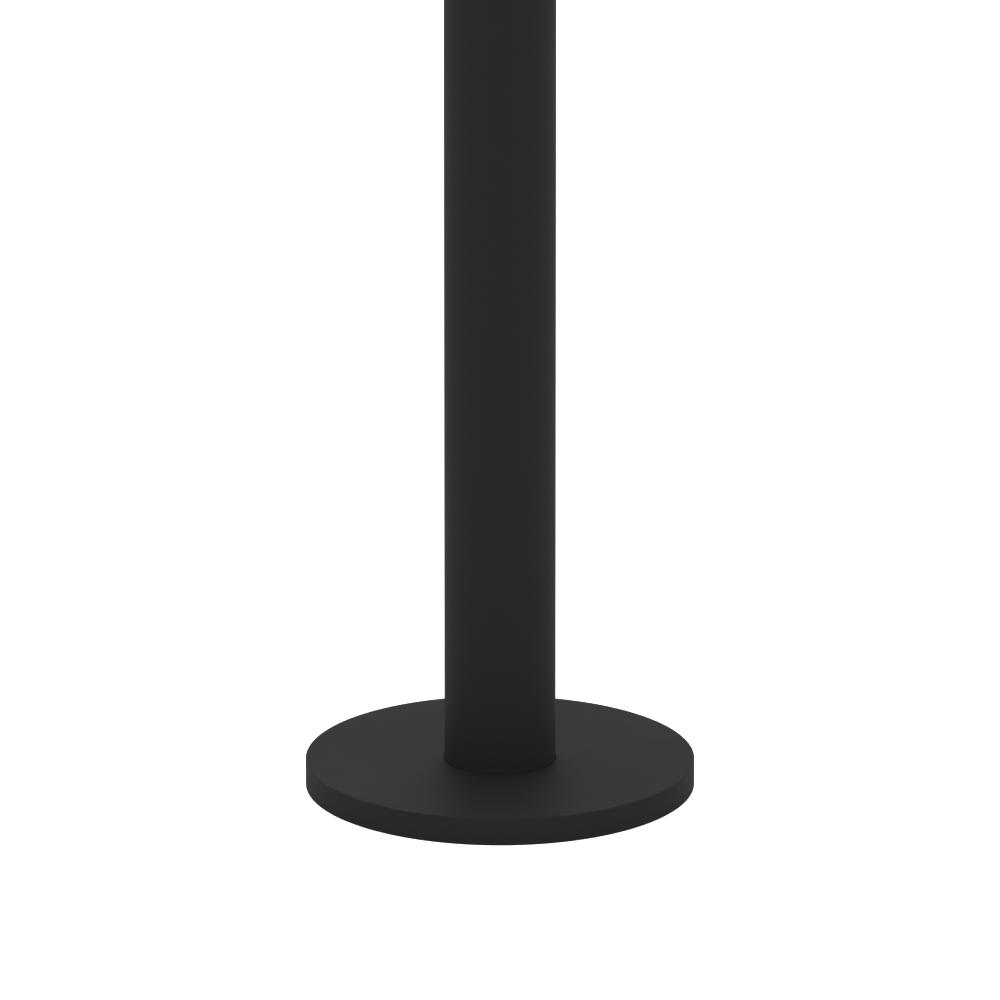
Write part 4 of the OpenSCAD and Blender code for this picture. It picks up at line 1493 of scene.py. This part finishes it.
@dataclass
class Bezel:
    """A glazed bezel: ring, glass, gasket, clips and lock."""

    bench: Bench
    datum: Datum
    case: CaseShell
    side: Side
    wall: float = 3 * MM
    face_w: float = 30 * MM
    corner: float = 8 * MM
    lug_t: float = 7.5 * MM
    lock_r: float = 4 * MM

    def build(self) -> None:
        """Makes the bezel's pieces."""
        name, place = self.side.value, self.datum.face(self.side)
        for part, shape in (("bezel", self.ring()), ("glass", self.glass()), ("glass_gasket", self.gasket()),
                            ("glass_clips", self.clips()), ("lock_cam", self.lock())):
            node = f"{name}_{part}"
            self.bench.fit(node, placed(shape, place), node, smooth=30)

    def ring(self) -> Solid:
        """The ring with its rounded shoulder, hinge knuckles and lock lug."""
        d, t, r, front = self.datum, self.wall, self.datum.case_r, self.datum.bezel_front
        inner = r - self.face_w
        points = [(r - t, d.bezel_back), (r, d.bezel_back), (r, front), (inner + 2 * MM, front),
                  (inner, front - 1.2 * MM), (inner, front - t), (r - t, front - t)]
        rounds = {1: 0.5 * MM, 2: self.corner, 3: 0.8 * MM, 4: 0.8 * MM, 6: self.corner - t}
        shell = turned(points, rounds, steps=288, segments=8)
        case = self.case
        offset = case.case_knuckle / 2 + 0.2 * MM + case.bezel_knuckle / 2
        knuckles = [case.knuckle(y + s * offset, case.bezel_knuckle, d.bezel_back)
                    for y in case.hinge_ys for s in (-1, 1)]
        lug = case.lock_lug(self.lug_t, bar(self.lock_r + 0.05 * MM, 20 * MM), d.bezel_back)
        return joined([shell, *knuckles, lug])

    def glass(self) -> Solid:
        """The pane, with a ground edge."""
        d, ground = self.datum, 0.8 * MM
        return band(0, d.glass_r, d.glass_back, d.glass_front, {1: ground, 2: ground}, 256)

    def gasket(self) -> Solid:
        """The channel of rubber round the edge of the glass."""
        d, wall, gap = self.datum, 1 * MM, 0.05 * MM
        inner, edge, outer = d.glass_r - 10 * MM, d.glass_r + gap, d.glass_r + 6 * MM
        back, front = d.glass_back - wall, d.glass_front + wall
        slot_back, slot_front = d.glass_back - gap, d.glass_front + gap
        points = [(inner, back), (outer, back), (outer, front), (inner, front),
                  (inner, slot_front), (edge, slot_front), (edge, slot_back), (inner, slot_back)]
        return turned(points, {0: 0.4 * MM, 3: 0.4 * MM}, steps=256)

    def clips(self) -> Solid:
        """Eight bent clips that hold the glass, each with a screw."""
        d, wide = self.datum, 24 * MM
        rim, back, glass_r = d.case_r - self.wall, d.glass_back, d.glass_r

        def clip() -> Solid:
            """One clip with its screw."""
            tongue = moved(slab(16.5 * MM, wide, 2 * MM, 2 * MM), glass_r + 2.2 * MM, 0, back - 3 * MM)
            foot = moved(slab(2.4 * MM, wide, 8 * MM), rim - 1.6 * MM, 0, back - 8.5 * MM)
            seat = shift(rim - 2.7 * MM, 0, back - 5.6 * MM) @ about("Y", -90)
            screw = placed(screw_head(2.5 * MM, 1.2 * MM), seat)
            bent = carved(tongue, [bar(rim - 0.1 * MM, 0.3, steps=288)], Cut.TO_SHAPE)
            return joined([soften(bent, 0.3 * MM, 1, 60), soften(foot, 0.3 * MM, 1, 60), screw])

        return around(clip, 8, 22.5)

    def lock(self) -> Solid:
        """The quarter turn lock, with a three-sided recess for its key."""
        d, r = self.datum, self.lock_r
        lug_front = d.bezel_back + self.lug_t
        back = d.case_half - 11 * MM
        shaft = moved(bar(r, lug_front - back + 0.2 * MM, 0.3 * MM, 40), z=back)
        angles = [math.radians(a) for a in (90, 210, 330)]
        outline = [(r * math.cos(a), r * math.sin(a)) for a in angles]
        key = plate(outline, 3 * MM, {i: 0.6 * MM for i in range(3)})
        head = moved(bar(7 * MM, 3 * MM, 0.8 * MM, 48), z=lug_front + 0.1 * MM)
        head = carved(head, [moved(key, z=lug_front + 1.2 * MM)])
        tongue = moved(slab(6 * MM, 18 * MM, 3 * MM, 1.5 * MM, 0.4 * MM), z=back - 1 * MM)
        return moved(joined([shaft, head, tongue]), d.case_r + self.case.lock_out)


@dataclass
class Face:
    """A dial with its two hands."""

    bench: Bench
    datum: Datum
    side: Side
    hour: int = 10
    minute: int = 10
    pipe_r: float = 9 * MM
    arbor_r: float = 6 * MM
    hand_t: float = 2.5 * MM
    hour_reach: float = 205 * MM
    minute_reach: float = 312 * MM
    sink: float = 3 * MM

    def build(self) -> None:
        """Makes the dial and its hands."""
        name, place = self.side.value, self.datum.face(self.side)
        minute_turn = -math.radians(6 * self.minute)
        hour_turn = -math.radians(30 * self.hour + self.minute / 2)
        self.bench.fit(f"{name}_dial", placed(self.dial(), place), f"{name}_dial")
        hour = self.hand(self.hour_reach, 62 * MM, 30 * MM, 18 * MM, 22 * MM, self.datum.hour_w, hour_turn,
                         15 * MM, self.pipe_r)
        self.bench.fit(f"{name}_hour_hand", placed(hour, place), f"{name}_hour_hand", smooth=30)
        minute = joined([
            self.hand(self.minute_reach, 78 * MM, 22 * MM, 11 * MM, 17 * MM, self.datum.minute_w, minute_turn,
                      13 * MM, self.arbor_r), self.cap()])
        self.bench.fit(f"{name}_minute_hand", placed(minute, place), f"{name}_minute_hand", smooth=30)

    def dial(self) -> Solid:
        """The opal disc, with its hole for the arbors."""
        d, rounds = self.datum, {1: 0.5 * MM, 2: 0.5 * MM, 3: 0.3 * MM}
        return band(self.pipe_r + 1.5 * MM, d.dial_r, d.dial_back, d.dial_front, rounds, 256)

    def hand(self, reach: float, tail: float, wide: float, narrow: float, boss: float, back: float,
             turn: float, hub_r: float, bore: float) -> Solid:
        """A tapered hand with a round tail and a boss.

        Args:
            reach: distance from the arbor to the tip.
            tail: distance from the arbor to the middle of the tail's round end.
            wide: width at the arbor.
            narrow: width at the tip.
            boss: radius of the disc round the arbor.
            back: depth of the back of the hand.
            turn: angle from twelve, anticlockwise.
            hub_r: radius of the hub behind the hand.
            bore: radius of the hole in the hub.

        Returns:
            The hand.
        """
        tail_w, thick = wide * 0.4, self.hand_t + 0.3 * MM
        points = [(-tail_w, -tail), (-tail_w, -tail - tail_w), (tail_w, -tail - tail_w), (tail_w, -tail),
                  (wide / 2, 0), (narrow / 2, reach), (-narrow / 2, reach), (-wide / 2, 0)]
        blade = plate(points, self.hand_t, {1: tail_w * 0.99, 2: tail_w * 0.99}, segments=10)
        blade = soften(blade, 0.5 * MM, 3, 50)
        disc = band(0, boss, 0, thick, {1: 0.4 * MM, 2: 0.8 * MM})
        hub = moved(bar(hub_r, self.sink + 0.2 * MM, 0.4 * MM, 64, bore), z=-self.sink)
        return placed(joined([blade, disc, hub]), shift(z=back) @ Matrix.Rotation(turn, 4, "Z"))

    def cap(self) -> Solid:
        """The domed cap over the end of the minute arbor."""
        low, high, radius = self.datum.minute_w + self.hand_t, self.datum.minute_w + 6 * MM, 13 * MM
        points = [(0, low), (radius, low), (radius, high - 1 * MM), (4 * MM, high), (0, high)]
        return turned(points, {2: 2 * MM, 3: 2 * MM}, segments=6)


@dataclass
class DialFurniture:
    """Hour batons, minute strokes, numerals and dial screws of both faces."""

    bench: Bench
    datum: Datum
    visible_inset: float = 30 * MM
    baton: tuple[float, float] = (36 * MM, 14 * MM)
    stroke: tuple[float, float] = (16 * MM, 4 * MM)
    track_gap: float = 14 * MM
    numeral_ring: float = 250 * MM
    numeral_size: float = 86 * MM
    embolden: float = 1.5 * MM
    print_t: float = 0.6 * MM
    pillar_inset: float = 10 * MM

    def build(self) -> None:
        """Makes the markers, numerals and pillars."""
        body = frame["nodes"]["front_dial"]["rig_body"]
        self.bench.fit("dial_markers", self.on_both(self.markers), "dial_markers")
        self.bench.fit("dial_numerals", self.on_both(self.numerals), body=body, slot="dial_black")
        self.bench.fit("dial_pillars", self.on_both(self.pillars), "dial_pillars")

    def on_both(self, make: Callable[[], Solid]) -> Solid:
        """The same thing on both faces."""
        return joined([placed(make(), self.datum.face(side)) for side in Side])

    def markers(self) -> Solid:
        """Twelve batons and the minute strokes between them."""
        outer = self.datum.case_r - self.visible_inset - self.track_gap
        parts = []
        for minute in range(60):
            length, width = self.baton if minute % 5 == 0 else self.stroke
            mark = slab(length, width, 1 * MM, 0.6 * MM)
            spot = shift(outer - length / 2, 0, self.datum.dial_front)
            parts.append(placed(mark, about("Z", 6 * minute) @ spot))
        return joined(parts)

    def numerals(self) -> Solid:
        """The numbers 1 to 12, upright, inside the batons."""
        parts = []
        for hour in range(1, 13):
            text = bpy.data.curves.new("numeral", "FONT")
            text.body = str(hour)
            text.size = self.numeral_size
            text.extrude = self.print_t / 2
            text.resolution_u = 8
            shape = thickened(from_curve(text), self.embolden)
            spots = [v.co for v in shape.verts]
            middle = [(min(c) + max(c)) / 2 for c in zip(*spots)]
            angle = math.radians(90 - 30 * hour)
            parts.append(moved(shape, self.numeral_ring * math.cos(angle) - middle[0],
                               self.numeral_ring * math.sin(angle) - middle[1],
                               self.datum.dial_front + self.print_t / 2 - middle[2]))
        return joined(parts)

    def pillars(self) -> Solid:
        """Eight pillars behind the dial and the screws that hold it to them."""
        d, back = self.datum, 30 * MM

        def pillar() -> Solid:
            """One pillar with its screw."""
            post = moved(bar(5 * MM, d.dial_back - back, 0.3 * MM, 32), z=back)
            head = moved(screw_head(5 * MM, 2.4 * MM), z=d.dial_front)
            return moved(joined([post, head]), d.dial_r - self.pillar_inset)

        return around(pillar, 8, 22.5)


# ---------------------------------------------------------------- studio


@dataclass(frozen=True)
class Studio:
    """White floor, even white light, and a long lens looking down at the foot of the post.

    Attributes:
        distance: from the post's axis to the camera, along the ground.
        height: height of the camera.
        pitch: how far down it looks, in degrees.
        lens: focal length in millimetres, on a 36 mm sensor.
        light: strength of the light from the sky.
        floor_glow: light that the floor adds to what it reflects.
        backdrop: brightness of sky and floor where they are seen.
        floor_r: radius of the floor.
    """

    distance: float = 15.464
    height: float = 5.216
    pitch: float = 17.566
    lens: float = 543.5
    light: float = 0.505
    floor_glow: float = 0.01
    backdrop: float = 1.3
    floor_r: float = 300.0

    def build(self) -> None:
        """Makes the camera, the light and the floor."""
        scene = bpy.context.scene
        scene.view_settings.view_transform = "Standard"
        data = bpy.data.cameras.new("camera")
        data.lens = self.lens
        data.sensor_width = 36.0
        data.clip_end = 2000.0
        camera = bpy.data.objects.new("camera", data)
        camera.location = (0, -self.distance, self.height)
        camera.rotation_euler = (math.radians(90 - self.pitch), 0, 0)
        scene.collection.objects.link(camera)
        scene.camera = camera
        self.sky()
        self.floor()

    def seen(self, w: Wiring) -> Socket:
        """One where the camera looks straight or through glass, and nought where light bounces."""
        path = w.node("ShaderNodeLightPath")
        bounces = w.maths("ADD", path.outputs["Diffuse Depth"], path.outputs["Glossy Depth"])
        through = w.maths("SUBTRACT", path.outputs["Is Transmission Ray"], bounces)
        return w.maths("MAXIMUM", path.outputs["Is Camera Ray"], through)

    def sky(self) -> None:
        """Even light from all round, white where it is seen."""
        world = bpy.data.worlds.new("studio")
        bpy.context.scene.world = world
        world.use_nodes = True
        w = Wiring(world.node_tree)
        strength = w.ranged(self.seen(w), 0.0, 1.0, self.light, self.backdrop)
        background = world.node_tree.nodes["Background"]
        w.feed(background, {"Color": WHITE, "Strength": strength})

    def floor(self) -> None:
        """A wide white floor that throws the same light back up."""
        bm = bmesh.new()
        bmesh.ops.create_circle(bm, cap_ends=True, segments=64, radius=self.floor_r)
        mesh = bpy.data.meshes.new("studio_floor")
        bm.to_mesh(mesh)
        bm.free()
        floor = bpy.data.objects.new("studio_floor", mesh)
        bpy.context.scene.collection.objects.link(floor)
        material = bpy.data.materials.new("studio_floor")
        material.use_nodes = True
        w = Wiring(material.node_tree)
        shader = material.node_tree.nodes["Principled BSDF"]
        glow = w.ranged(self.seen(w), 0.0, 1.0, self.floor_glow, self.backdrop)
        w.feed(shader, {"Base Color": rgba((0.8, 0.8, 0.8)), "Roughness": 1.0, "Emission Color": WHITE,
                        "Emission Strength": glow})
        mesh.materials.append(material)
        floor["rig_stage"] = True


# ---------------------------------------------------------------- the whole clock


def corners(limits: tuple[Vector, Vector]) -> list[list[float]]:
    """A box as plain lists of numbers."""
    return [list(map(float, corner)) for corner in limits]


def main() -> None:
    """Builds the studio and the clock, and works out its size before and after."""
    logging.basicConfig(level=logging.INFO, format="%(name)s: %(message)s")
    cad_box = corners(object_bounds())
    datum = Datum.read()
    Studio().build()
    bench = Bench(finishes(datum))
    Foot(bench, datum).build()
    post = Post(bench, datum)
    post.build()
    ServiceDoor(bench, datum, post).build()
    PostInside(bench, datum).build()
    neck = Neck(bench, datum)
    neck.build()
    case = CaseShell(bench, datum, neck)
    case.build()
    DialFurniture(bench, datum).build()
    for side in Side:
        Face(bench, datum, side).build()
        Bezel(bench, datum, case, side).build()
    {"cad": cad_box, "visual": corners(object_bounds())}


if __name__ == "__main__":
    main()
